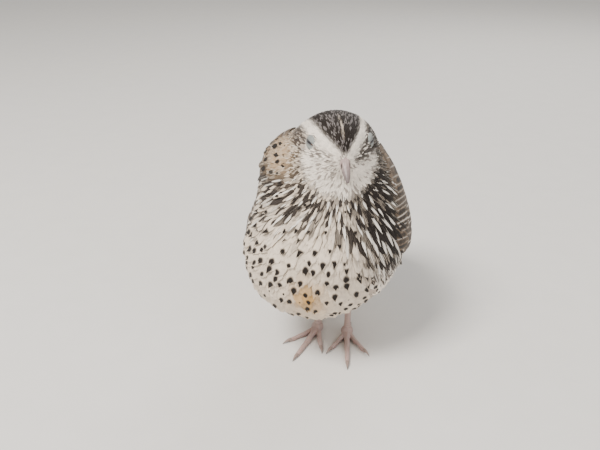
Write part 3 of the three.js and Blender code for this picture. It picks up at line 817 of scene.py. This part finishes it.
def on_body(side, along, turn):
    """Where a ray from the body's axis leaves the skin, by share of its length and turn from the ridge."""
    start = AXIS_FRONT + (AXIS_REAR - AXIS_FRONT) * along
    out = axis_up * math.cos(math.radians(turn)) + np.array([side * math.sin(math.radians(turn)), 0, 0])
    place, normal, _, _ = skin_tree.ray_cast(
        Vector(start + out * AXIS_CLEARANCE), Vector(-out), AXIS_CLEARANCE
    )
    return place and (np.array(place), np.array(normal))


def wing_shafts(side, roots, tips, count):
    """Shafts that follow the body from root to tip, and go straight on where the body ends before them."""
    lines = []
    for i in range(count):
        share = i / (count - 1) + draw.normal(0, 0.015)
        root = np.array(roots[0]) + (np.array(roots[1]) - roots[0]) * share
        tip = np.array(tips[0]) + (np.array(tips[1]) - tips[0]) * share + draw.normal(0, 1, 2) * [0.008, 0.8]
        line = []
        for t in np.linspace(0, 1, WING_STATIONS):
            here = on_body(side, *(root + (tip - root) * t))
            line.append(here or (2 * line[-1][0] - line[-2][0], line[-1][1]))
        lines.append(line)
    centres = np.array([[place for place, _ in line] for line in lines])
    outs = unit(np.array([[normal for _, normal in line] for line in lines]))
    for _ in range(3):
        outs[:, 1:-1] = unit(outs[:, :-2] + outs[:, 1:-1] * 2 + outs[:, 2:])
        centres[:, 1:-1] = (centres[:, :-2] + centres[:, 1:-1] * 2 + centres[:, 2:]) / 4
    ways = np.gradient(centres, axis=1)
    ways = unit(ways - (ways * outs).sum(-1, keepdims=True) * outs)
    return centres, outs, ways


wing_plumage = feather_material("wing plumage", 0.55)


def wing_colours(chance):
    """Grey-brown grounds, warmer or colder by chance, with bars, dark sides and pale shaft streaks."""
    ground = blended(GREY * 1.6, BUFF * 0.52, 0.2 + 0.35 * chance)
    strengths = np.stack([0.25 + 0.45 * draw.random(len(chance)), 0 * chance, 0.5 + 0.5 * chance], -1)
    return ground, strengths, 0.55 + 0.45 * chance, chance, 0.15 + 0.2 * draw.random(len(chance))


for label, side in (("left", 1), ("right", -1)):
    for tier, plan in WING_TIERS.items():
        shafts = wing_shafts(side, plan["roots"], plan["tips"], plan["count"])
        chance = draw.random(plan["count"])
        under = np.full(plan["count"], plan["under"]) + np.linspace(0.3, 0, plan["count"])
        over = np.full(plan["count"], plan["over"]) + np.linspace(0.35, 0, plan["count"])
        mesh = vanes(
            f"{tier}_{label}", shafts, np.full(plan["count"], plan["breadth"]), (under, over), wing_plumage,
            wing_colours(chance), **WING_VANES,
        )
        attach(as_object(f"{tier}_{label}", mesh), "root")
    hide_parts(f"wing_{label}")

# Tail
# Twelve short soft tail feathers in a drooping fan, roofed from the middle pair down, with the rows of
# coverts that hide their roots above and below.

TAIL_LENGTH = 34.0
TAIL_STATIONS = 12
TAIL_SAG = 2.2
TAIL_BREADTH = 9.2
COVERT_BREADTH = 9.0
TAIL_VANES = dict(across=9, cup=0.12, fray=0.05, tip=0.14, taper=0.2, thickness=0.14)
tail_back = np.array([0.0, math.cos(TAIL_DROOP), -math.sin(TAIL_DROOP)])
tail_over = np.array([0.0, math.sin(TAIL_DROOP), math.cos(TAIL_DROOP)])


def tail_shafts(plans):
    """Straight shafts that sag to their tips, by turn, roof, and reach and height at both ends."""
    t = np.linspace(0, 1, TAIL_STATIONS)[:, None]
    centres, outs, ways = [], [], []
    for turn, roof, (from_reach, from_height), (to_reach, to_height) in plans:
        aim = np.array(Matrix.Rotation(math.radians(turn), 3, Vector(tail_over)) @ Vector(tail_back))
        across = np.cross(tail_over, aim)
        out = np.array(Matrix.Rotation(math.radians(roof), 3, Vector(aim)) @ Vector(np.cross(aim, across)))
        reach = from_reach + t * (to_reach - from_reach)
        height = from_height + t * (to_height - from_height) - TAIL_SAG * t**2
        line = placed(*TAIL_ROOT) + aim * reach + tail_over * height
        way = unit(np.gradient(line, axis=0))
        outs.append(unit(out - (way * out).sum(1, keepdims=True) * way))
        centres.append(line)
        ways.append(way)
    return np.array(centres), np.array(outs), np.array(ways)


def tail_piece(name, plans, breadth):
    count = len(plans)
    chance = draw.random(count)
    shafts = tail_shafts(plans)
    still = np.zeros(count)
    mesh = vanes(
        name, shafts, np.full(count, breadth), (still, still + 0.3), wing_plumage,
        wing_colours(chance), **TAIL_VANES,
    )
    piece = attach(as_object(name, mesh), "root")
    return piece


def fan(count, spread, sign, root_height, tip_height, reach, fall, roof):
    """Plans of feathers side by side, on top (+1) of the tail or under it (-1), the middle ones outermost."""
    plans = []
    for i in range(count):
        place = i - (count - 1) / 2
        rank = abs(place)
        turn = -place * spread
        plans.append((
            turn, sign * roof * math.copysign(min(rank, 1), place),
            (-4, root_height - sign * fall * rank), (reach - 0.9 * rank, tip_height - sign * fall * rank),
        ))
    return sorted(plans, key=lambda plan: sign * plan[2][1])


tail_feathers = tail_piece("tail_feathers", fan(
    count=12, spread=3.5, sign=1, root_height=3.9, tip_height=3.9, reach=TAIL_LENGTH, fall=0.62, roof=12,
), TAIL_BREADTH)
tail_piece("upper_tail_coverts", fan(
    count=9, spread=6.5, sign=1, root_height=9.2, tip_height=6.4, reach=24, fall=0.95, roof=22,
), COVERT_BREADTH)
tail_piece("under_tail_coverts", fan(
    count=8, spread=7, sign=-1, root_height=-9.5, tip_height=-2.6, reach=23, fall=0.9, roof=22,
), COVERT_BREADTH)
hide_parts("tail")

# Bill
# A short curved bill of horn: the upper blade overlaps the lower one and swells over each nostril.
# Both blades are sunk into the face, so that the small feathers meet them all round.

BILL_LENGTH = 12.0
BILL_SUNK = 4.0
BILL_WIDTH = 5.6
BILL_DROOP = math.radians(20)
TAPER_BEFORE = 2.0
NOSTRIL_FLAP_AT = 4.0
NOSTRIL_AT = 4.9
BILL_RINGS = 72
ARCH_POINTS = 64
MOUTH_POINTS = 8
BLADES = {
    "bill_upper": dict(sign=1, reach=BILL_LENGTH, depth=3.1, width=BILL_WIDTH),
    "bill_lower": dict(sign=-1, reach=BILL_LENGTH - 0.9, depth=1.9, width=BILL_WIDTH * 0.9),
}
bill_forward = np.array([0.0, -math.cos(BILL_DROOP), -math.sin(BILL_DROOP)])
bill_over = np.array([0.0, bill_forward[2], -bill_forward[1]])


def bill_blade(sign, reach, depth, width):
    """Rings of the upper (+1) or lower (-1) blade in the head's directions, and the painted shade in its
    nasal slots.
    """
    rings, nostril_shades = [], []
    angles = np.linspace(0, math.pi, ARCH_POINTS)
    before = BILL_SUNK + TAPER_BEFORE
    for t in np.linspace(0, 1, BILL_RINGS):
        along = t * (reach + BILL_SUNK) - BILL_SUNK
        whole = (along + before) / (reach + before)
        taper = math.sqrt(max(1 - 0.98 * whole**1.35, 0.0))
        bend = ((along + before) / (BILL_LENGTH + before)) ** 3
        middle = BILL_ROOT + bill_forward * along + bill_over * (-1.8 * bend + sign * 0.06)
        x = np.cos(angles) * width / 2 * taper
        height = np.sin(angles) ** 0.85 * depth * taper
        slot = np.zeros(len(x))
        if sign > 0:
            ridge = 0.16 * bell(x, 0, 0.55) * taper
            flap = 0.4 * bell(along, NOSTRIL_FLAP_AT, 1.6) * bell(np.abs(x), 1.1, 0.45)
            slot = 0.8 * np.exp(-((along - NOSTRIL_AT) ** 4)) * bell(np.abs(x), 1.65, 0.17)
            height = height + ridge + flap - slot * (height > 0.3)
        mouth = np.linspace(-0.92, 0.92, MOUTH_POINTS) * width / 2 * taper
        x = np.concatenate([x, mouth])
        height = np.concatenate([height, np.full(MOUTH_POINTS, 0.1 * (1 - whole))])
        # The share of each nasal slot is kept as painted shade, which darkens the horn inside the slot.
        nostril_shades.append(np.concatenate([np.clip(slot * 1.6, 0, 1), np.zeros(MOUTH_POINTS)]))
        rings.append(middle + np.outer(sign * height, bill_over) + np.outer(x, [1, 0, 0]))
    return np.array(rings), np.concatenate(nostril_shades)


def ring_faces(rings, sides):
    faces = []
    for k in range(rings - 1):
        for i in range(sides):
            j = (i + 1) % sides
            faces.append([k * sides + i, k * sides + j, (k + 1) * sides + j, (k + 1) * sides + i])
    return faces


def tube_faces(rings, sides, flip=False):
    """The faces of a tube of rings, closed at both ends."""
    ends = [list(range(sides))[::-1], [(rings - 1) * sides + i for i in range(sides)]]
    faces = ring_faces(rings, sides) + ends
    return [face[::-1] for face in faces] if flip else faces


def horn_material(name, root_colour, tip_colour, along, start, end):
    """Horn with fine growth lines; it darkens along one direction of its own object."""
    recipe = Recipe(name)
    here = recipe.here()
    node = recipe.nodes.new("ShaderNodeVectorMath")
    node.operation = "DOT_PRODUCT"
    recipe.plug(here, node.inputs[0])
    node.inputs[1].default_value = along
    reach = recipe.step(node.outputs["Value"], start, end)
    grain = recipe.noise(here, 420, detail=5, roughness=0.65, stretch=(1.0, 0.3, 0.6))
    blotch = recipe.noise(here, 900, detail=3)
    share = recipe.plus(reach, recipe.ranged(grain, 1.1, -0.55))
    colour = recipe.mix(share, root_colour, tip_colour)
    # Painted shade: the horn is darkened nearly to black inside each nasal slot.
    colour = recipe.mix(recipe.attribute("nostril_shade", "Fac"), colour, (0.02, 0.014, 0.012, 1))
    recipe.colour(recipe.shade(colour, recipe.ranged(blotch, 0.6, 0.7)))
    recipe.plug(recipe.ranged(grain, 0.25, 0.28), recipe.surface.inputs["Roughness"])
    recipe.set(Specular_IOR_Level=0.45)
    recipe.bump(recipe.plus(grain, recipe.times(blotch, 0.4)), 0.0003, 0.8)
    return recipe.material


bill_aim = head_axes.T @ bill_forward
bill_start = float(on_head(*BILL_ROOT) @ bill_aim) * MM
bill_horn = horn_material(
    "bill horn", (0.36, 0.275, 0.26, 1), (0.15, 0.12, 0.115, 1),
    tuple(bill_aim), bill_start + 3 * MM, bill_start + BILL_LENGTH * MM,
)
for node, plan in BLADES.items():
    rings, nostril_shades = bill_blade(**plan)
    points = head_centre + rings.reshape(-1, 3) @ head_axes
    faces = tube_faces(len(rings), rings.shape[1], flip=plan["sign"] < 0)
    blade = mesh_of(node, points, faces, bill_horn)
    number_points(blade, "nostril_shade", nostril_shades)
    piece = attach(as_object(node + "_horn", blade), "root")
    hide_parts(node)

# Eyes and lids
# Dark wet eyes, drowsy and almost shut: bare blue-grey lids with a beaded rim cover all but a narrow slit.
# The eyes are whole globes set in the head, and the lids are shells drawn over them.

EYE_RADIUS = 3.7
SLIT_HALF = 2.75
SLIT_HEIGHT = 0.4
SLIT_RISE = 0.35
SLIT_ARCH = 0.5
SLIT_TILT = 0.12
LID_OPENING = math.radians(66)
LID_HEIGHT = 0.16
LID_BEADS = 46
LID_SIDES = 120
LID_INNER_EDGE = (0.10, 0.03)
GLOBE_RINGS = 40
GLOBE_SIDES = 48


def wet_material():
    recipe = Recipe("wet eye")
    aim = recipe.attribute("from_look", "Fac")
    speck = recipe.noise(recipe.here(), 2500, detail=3)
    iris = recipe.mix(speck, (0.05, 0.022, 0.01, 1), (0.13, 0.06, 0.028, 1))
    pupil = recipe.less(recipe.step(aim, 0.48, 0.54))
    rim = recipe.step(aim, 0.9, 1.02)
    recipe.colour(recipe.mix(rim, recipe.mix(pupil, iris, (0.002, 0.002, 0.002, 1)), (0.02, 0.012, 0.01, 1)))
    recipe.set(Roughness=0.06, Specular_IOR_Level=0.6, Coat_Weight=1.0, Coat_Roughness=0.02)
    recipe.bump(speck, 0.00002, 0.3)
    return recipe.material


def lid_material():
    recipe = Recipe("eyelid")
    pebbles = recipe.nodes.new("ShaderNodeTexVoronoi")
    pebbles.feature = "SMOOTH_F1"
    pebbles.inputs["Scale"].default_value = 2600
    recipe.plug(recipe.here(), pebbles.inputs["Vector"])
    tone = recipe.noise(recipe.here(), 700, detail=3)
    colour = recipe.mix(tone, (0.15, 0.165, 0.16, 1), (0.32, 0.335, 0.315, 1))
    recipe.colour(recipe.mix(recipe.attribute("rim", "Fac"), colour, (0.10, 0.10, 0.105, 1)))
    recipe.set(Roughness=0.5, Specular_IOR_Level=0.4)
    recipe.bump(pebbles.outputs["Distance"], 0.00012, 0.6)
    return recipe.material


def eye_axes(side):
    """The way an eye looks, the line of its slit and the way up across it, and its middle."""
    look = unit(EYE_LOOK * [side, 1, 1]) @ head_axes
    level = unit(np.cross(look, head_up) * side - SLIT_TILT * head_up)
    level = unit(level - level @ look * look)
    over = np.cross(level, look) * side
    over = over if over @ head_up > 0 else -over
    return look, level, over, on_head(*(EYE_PLACE * [side, 1, 1]))


def globe(side, radius):
    """A ball with its poles in front and behind; its points, its faces, the way it looks and its middle."""
    look, level, over, centre = eye_axes(side)
    points = [centre + look * radius]
    rings, sides = GLOBE_RINGS, GLOBE_SIDES
    for k in range(1, rings):
        theta = math.pi * k / rings
        phi = np.linspace(0, 2 * math.pi, sides, endpoint=False)
        flat = np.outer(np.cos(phi), level) + np.outer(np.sin(phi), over)
        points.extend(centre + radius * (math.cos(theta) * look + math.sin(theta) * flat))
    points.append(centre - look * radius)
    faces = [[0, 1 + i, 1 + (i + 1) % sides] for i in range(sides)]
    last = len(points) - 1
    for k in range(rings - 2):
        for i in range(sides):
            a, b = 1 + k * sides + i, 1 + k * sides + (i + 1) % sides
            faces.append([a, a + sides, b + sides, b])
    faces.extend([last, last - sides + (i + 1) % sides, last - sides + i] for i in range(sides))
    normal = np.cross(points[1 + sides] - points[1], points[2] - points[1])
    outward = normal @ (points[1] - centre) > 0
    return np.array(points), faces if outward else [face[::-1] for face in faces], look, centre


def lid_shell(side):
    """Rings from inside the slit's edge, over its beaded rim, and out under the feathers."""
    look, level, over, centre = eye_axes(side)
    phi = np.linspace(0, 2 * math.pi, LID_SIDES, endpoint=False)
    slit_x = np.cos(phi) * SLIT_HALF / EYE_RADIUS
    slit_y = np.sin(phi) * SLIT_HEIGHT + SLIT_RISE + SLIT_ARCH * (1 - np.cos(phi) ** 2)
    slit_y = slit_y / EYE_RADIUS
    ring_x, ring_y = np.cos(phi) * LID_OPENING, np.sin(phi) * LID_OPENING
    points, rims = [], []
    shares = np.concatenate([LID_INNER_EDGE, np.linspace(0, 1, 30)])
    for k, s in enumerate(shares):
        x, y = slit_x + (ring_x - slit_x) * s, slit_y + (ring_y - slit_y) * s
        theta = np.hypot(x, y)
        flat = (np.outer(x, level) + np.outer(y, over)) / (theta[:, None] + 1e-9)
        bead = bell(s, 0.07, 0.055)
        height = LID_HEIGHT + 0.2 * bead * (1 + 0.22 * np.cos(phi * LID_BEADS))
        height = height + 0.035 * np.sin(s * 44 + 1.5 * np.cos(phi))
        height = height + 0.3 * ramp(s, 0.1, 0.4) - 0.75 * ramp(s, 0.62, 1.0)
        if k < len(LID_INNER_EDGE):
            height = np.full(LID_SIDES, 0.03)
        reach = (EYE_RADIUS + height)[:, None]
        points.extend(centre + reach * (np.cos(theta)[:, None] * look + np.sin(theta)[:, None] * flat))
        rims.extend([1.0 if s < 0.1 else 0.35 * bell(s, 0.1, 0.1)] * LID_SIDES)
    faces = ring_faces(len(shares), LID_SIDES)
    points = np.array(points)
    a, b, _, d = faces[len(faces) // 2]
    outward = np.cross(points[b] - points[a], points[d] - points[a]) @ (points[a] - centre) > 0
    return points, faces if outward else [face[::-1] for face in faces], rims


wet = wet_material()
lid_skin = lid_material()
for label, side in (("left", 1), ("right", -1)):
    points, faces, look, centre = globe(side, EYE_RADIUS)
    ball = mesh_of(f"eye_globe_{label}", points, faces, wet)
    number_points(ball, "from_look", np.arccos(np.clip((points - centre) @ look / EYE_RADIUS, -1, 1)))
    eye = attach(as_object(f"eye_globe_{label}", ball), "root")
    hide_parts(f"eye_{label}")
    points, faces, rims = lid_shell(side)
    shell = mesh_of(f"eyelids_{label}", points, faces, lid_skin)
    number_points(shell, "rim", rims)
    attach(as_object(f"eyelids_{label}", shell), "root")

# Legs and claws
# Bare pinkish shanks and toes, melted into one skin: overlapping scutes in front and on top, small scales
# behind, pads below, and a short curved claw of horn set in the end of each toe.

FOOT_SPREAD = 15.0
FOOT_Y = -3.0
FOOT_TURN = 11.0
SHANK_FOOT = 1.8
SHANK_TOP = 20.0
SHANK_LEAN = 2.0
SHANK_THICKNESS = 3.4
HUB_HEIGHT = 2.6
HUB_RADIUS = 3.0
TOE_END = 1.9
CLAW_LENGTH = 3.8
SCUTE = 1.15
SHANK_SIDES = 28
TOE_SIDES = 20
TOE_RING_GAP = 0.22
CLAW_SIDES = 16
LEG_GRAIN = 0.24
LEG_EASING = 2
OVER_FLOOR = 0.02
FEELER = 0.25
TOES = {
    "inner": dict(length=16.0, turn=-30.0, thickness=2.9, joints=2),
    "middle": dict(length=25.0, turn=0.0, thickness=3.2, joints=3),
    "outer": dict(length=17.0, turn=30.0, thickness=2.8, joints=3),
    "hind": dict(length=7.5, turn=168.0, thickness=2.4, joints=1),
}


def leg_place(side, y, z):
    return placed(side * FOOT_SPREAD / 2, FOOT_Y + y, z)


def tube(centres, directions, radii_at, sides):
    """Rings round a line, with the radii that `radii_at` gives for a share of it and angles from its top."""
    angles = np.linspace(0, 2 * math.pi, sides, endpoint=False)
    rings = []
    for k, (centre, direction) in enumerate(zip(centres, directions)):
        across = unit(np.cross(direction, UP)) if abs(direction[2]) < 0.9 else np.array([1.0, 0, 0])
        over = np.cross(across, direction)
        radii = radii_at(k / (len(centres) - 1), angles)
        ring = np.outer(np.sin(angles) * radii, across) + np.outer(np.cos(angles) * radii, over)
        rings.append(centre + ring)
    return np.array(rings).reshape(-1, 3)


def scuted(position, angles, facing, height):
    """Overlapping scutes: a saw-toothed rise along the line, on the side of it that faces one angle."""
    tooth = position / SCUTE % 1
    return 1 + height * (tooth**1.5 - 0.4) * np.clip(np.cos(angles - facing) * 1.6, 0, 1)


def toe_way(side, turn):
    angle = math.radians(side * (FOOT_TURN + turn))
    return np.array([math.sin(angle), -math.cos(angle), 0.0])


def toe_tube(side, length, turn, thickness, joints):
    """A toe that lies on the floor, swollen into a pad under each joint."""
    steps = int(length / TOE_RING_GAP)
    t = np.linspace(0, 1, steps)
    size = thickness + t * (TOE_END - thickness)
    way = toe_way(side, turn)
    height = size * 0.44 + 1.6 * (1 - t) ** 4
    centres = leg_place(side, 0, 0) + np.outer(t * length, way) + np.outer(height, UP)

    def radii(share, angles):
        pad = 1 + (0.06 - 0.09 * np.cos(angles)) * math.cos(2 * math.pi * share * joints + math.pi)
        full = (thickness + share * (TOE_END - thickness)) / 2
        return full * pad * scuted(share * length, angles, 0.0, 0.24)

    return tube(centres, [way] * steps, radii, TOE_SIDES), tube_faces(steps, TOE_SIDES)


def shank_ends(side):
    return leg_place(side, 0, SHANK_FOOT), leg_place(side, SHANK_LEAN, SHANK_TOP)


def shank_tube(side):
    foot, top = shank_ends(side)
    steps = 90
    t = np.linspace(0, 1, steps)
    centres = foot + np.outer(t, top - foot)

    def radii(share, angles):
        swell = 1.25 - 0.25 * ramp(share, 0.05, 0.3) - 0.1 * math.sin(math.pi * share)
        oval = 1 + 0.12 * np.cos(angles) ** 2
        scutes = scuted(share * (SHANK_TOP - SHANK_FOOT), angles, math.pi, 0.22)
        return SHANK_THICKNESS / 2 * swell * oval * scutes

    along = [unit(top - foot)] * steps
    return tube(centres, along, radii, SHANK_SIDES), tube_faces(steps, SHANK_SIDES)


def scute_places(points, normals, side):
    """Millimetres along the nearest toe or the shank, and how much a place faces its row of scutes."""
    root, top = shank_ends(side)
    lines = [(toe_way(side, toe["turn"]), toe["length"], UP) for toe in TOES.values()]
    lines.append((unit(top - root), SHANK_TOP, toe_way(side, 0)))
    nearest = np.full(len(points), np.inf)
    along, facing = np.zeros(len(points)), np.zeros(len(points))
    for way, length, outward in lines:
        reach = (points - root) @ way
        gap = np.linalg.norm(points - root - np.outer(np.clip(reach, 0, length), way), axis=1)
        closer = gap < nearest
        nearest = np.where(closer, gap, nearest)
        along = np.where(closer, reach, along)
        facing = np.where(closer, ramp(normals @ outward, 0.25, 0.55), facing)
    return np.stack([along / SCUTE, facing, 0 * facing], -1)


def leg_skin_material():
    recipe = Recipe("leg skin")
    along, facing, _ = recipe.split(recipe.attribute("scutes"))
    scales = recipe.nodes.new("ShaderNodeTexVoronoi")
    scales.feature = "DISTANCE_TO_EDGE"
    scales.inputs["Scale"].default_value = 1500
    recipe.plug(recipe.here(), scales.inputs["Vector"])
    gap = recipe.less(recipe.step(scales.outputs["Distance"], 0.0, 0.12))
    crease = recipe.times(gap, recipe.less(facing))
    waver = recipe.noise(recipe.here(), 500)
    plate = recipe.math("FRACT", recipe.plus(along, recipe.times(waver, 0.5)))
    edge = recipe.times(recipe.less(recipe.step(plate, 0.0, 0.2)), facing)
    crease = recipe.plus(crease, edge)
    tone = recipe.noise(recipe.here(), 220, detail=4)
    fine = recipe.noise(recipe.here(), 3000, detail=2)
    colour = recipe.mix(tone, (0.42, 0.28, 0.25, 1), (0.58, 0.45, 0.41, 1))
    colour = recipe.mix(recipe.times(crease, 0.5), colour, (0.24, 0.14, 0.12, 1))
    # Painted shade in the creases of the foot, found from the foot's own shape.
    colour = recipe.mix(recipe.attribute("crease_shade", "Fac"), colour, (0.24, 0.14, 0.12, 1))
    recipe.colour(colour)
    recipe.plug(recipe.ranged(fine, 0.25, 0.4), recipe.surface.inputs["Roughness"])
    recipe.set(Specular_IOR_Level=0.4, Subsurface_Weight=0.08, Subsurface_Scale=0.002)
    rise = recipe.plus(recipe.times(crease, -1.0), recipe.times(fine, 0.3))
    recipe.bump(recipe.plus(rise, recipe.times(recipe.times(plate, facing), 0.8)), 0.00012, 0.8)
    return recipe.material


def claw_rings(side, length, turn):
    way = toe_way(side, turn)
    t = np.linspace(0, 1, 20)
    reach = length - 0.9 + t * (CLAW_LENGTH + 1.2)
    lift = 0.95 + 0.35 * np.sin(math.pi * t) - 0.65 * t**2
    centres = leg_place(side, 0, 0) + np.outer(reach, way) + np.outer(lift, UP)

    def radii(share, angles):
        return TOE_END * 0.46 * (1 - 0.93 * share**1.3) * (1 + 0.15 * np.cos(angles))

    return tube(centres, [way] * len(t), radii, CLAW_SIDES), tube_faces(len(t), CLAW_SIDES)


leg_skin = leg_skin_material()
claw_horn = horn_material(
    "claw horn", (0.30, 0.22, 0.19, 1), (0.10, 0.075, 0.065, 1), (0, 0, -1), -1.5 * MM, -0.4 * MM,
)
for label, side in (("left", 1), ("right", -1)):
    pieces = [toe_tube(side, **toe) for toe in TOES.values()] + [shank_tube(side)]
    whole, faces = [], []
    for points, part in pieces:
        faces.extend([[index + len(whole) for index in face] for face in part])
        whole.extend(points)
    hub = bpy.data.meshes.new("foot")
    hub.from_pydata((np.array(whole) * MM).tolist(), [], faces)
    shape = bmesh.new()
    shape.from_mesh(hub)
    bmesh.ops.recalc_face_normals(shape, faces=shape.faces)
    place = Matrix.Translation(Vector(leg_place(side, 0, HUB_HEIGHT)) * MM)
    oval = Matrix.Diagonal((1, 1.1, 0.95, 1))
    bmesh.ops.create_icosphere(shape, subdivisions=4, radius=HUB_RADIUS * MM, matrix=place @ oval)
    shape.to_mesh(hub)
    points, normals, faces = melted(hub, LEG_GRAIN, LEG_EASING)
    points[:, 2] = np.maximum(points[:, 2], OVER_FLOOR)
    mesh = mesh_of(f"leg_{label}", points, faces, leg_skin)
    triple_points(mesh, "scutes", scute_places(points, normals, side))
    # Painted crease shade: where another part of the foot lies within the feeler's reach outside a point, as
    # between and at the roots of the toes, the skin is darkened.
    around = BVHTree.FromPolygons([Vector(point) for point in points], faces)
    gaps = [around.find_nearest(Vector(p + n * FEELER))[3] for p, n in zip(points, normals)]
    number_points(mesh, "crease_shade", np.clip((FEELER - np.array(gaps)) * 20, 0, 0.9))
    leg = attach(as_object(f"leg_{label}", mesh), "root")
    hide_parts(f"shank_{label}", f"foot_{label}")
    for toe, plan in TOES.items():
        points, faces = claw_rings(side, plan["length"], plan["turn"])
        points[:, 2] = np.maximum(points[:, 2], OVER_FLOOR)
        mesh = mesh_of(f"claw_horn_{label}_{toe}", points, faces, claw_horn)
        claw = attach(as_object(f"claw_horn_{label}_{toe}", mesh), "root")
        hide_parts(f"claw_{label}_{toe}")

# Floor, light and camera
# A plain pale floor, a wide soft light from above in front with weaker ones beside and behind, and the
# camera as high and as far from the bird as the photograph was taken from.

CAMERA_AZIMUTH = math.radians(14)
CAMERA_ELEVATION = math.radians(25)
CAMERA_DISTANCE = 318.0
FOCAL_PIXELS = 700.0
PHOTO_SIZE = (600, 450)
BREAST_PLACE = placed(-0.95, -13, 58)
BREAST_PIXEL = (328, 237)


def stage_material(name, colour):
    recipe = Recipe(name)
    grain = recipe.noise(recipe.here(), 60)
    recipe.colour(recipe.mix(grain, (*colour, 1), tuple(0.94 * part for part in colour) + (1,)))
    recipe.set(Roughness=0.9)
    return recipe.material


floor_mesh = bpy.data.meshes.new("floor")
floor_mesh.from_pydata([(-9, -9, 0), (9, -9, 0), (9, 9, 0), (-9, 9, 0)], [], [(0, 1, 2, 3)])
floor_mesh.materials.append(stage_material("floor", (0.72, 0.70, 0.67)))
as_object("floor", floor_mesh)

world = bpy.data.worlds.new("studio")
world.use_nodes = True
world.node_tree.nodes["Background"].inputs["Color"].default_value = (1.0, 0.985, 0.96, 1)
world.node_tree.nodes["Background"].inputs["Strength"].default_value = 0.62
bpy.context.scene.world = world


def lamp(name, place, target, size, power, colour):
    light = bpy.data.lights.new(name, "AREA")
    light.size = size
    light.energy = power
    light.color = colour
    holder = as_object(name, light)
    holder.location = place
    holder.rotation_euler = (Vector(target) - Vector(place)).to_track_quat("-Z", "Y").to_euler()


bird_middle = Vector(BREAST_PLACE) * MM
lamp("key", (-0.35, -0.65, 1.0), bird_middle, 0.4, 24.0, (1.0, 0.955, 0.90))
lamp("fill", (0.8, -0.5, 0.5), bird_middle, 0.8, 3.0, (0.97, 0.98, 1.0))
lamp("rim", (0.2, 0.8, 0.7), bird_middle, 0.5, 4.0, (1.0, 0.98, 0.95))

right = np.array([math.cos(CAMERA_AZIMUTH), math.sin(CAMERA_AZIMUTH), 0])
back = np.array(
    [
        math.sin(CAMERA_AZIMUTH) * math.cos(CAMERA_ELEVATION),
        -math.cos(CAMERA_AZIMUTH) * math.cos(CAMERA_ELEVATION),
        math.sin(CAMERA_ELEVATION),
    ]
)
per_pixel = CAMERA_DISTANCE / FOCAL_PIXELS
camera = bpy.data.cameras.new("camera")
camera.sensor_width = 36
camera.lens = camera.sensor_width * FOCAL_PIXELS / PHOTO_SIZE[0]
camera.clip_start = 0.01
camera_holder = as_object("camera", camera)
camera_place = (
    BREAST_PLACE
    + back * CAMERA_DISTANCE
    - right * (BREAST_PIXEL[0] - PHOTO_SIZE[0] / 2) * per_pixel
    + np.cross(back, right) * (BREAST_PIXEL[1] - PHOTO_SIZE[1] / 2) * per_pixel
)
camera_holder.location = Vector(camera_place) * MM
camera_holder.rotation_euler = Vector(back).to_track_quat("Z", "Y").to_euler()
bpy.context.scene.camera = camera_holder
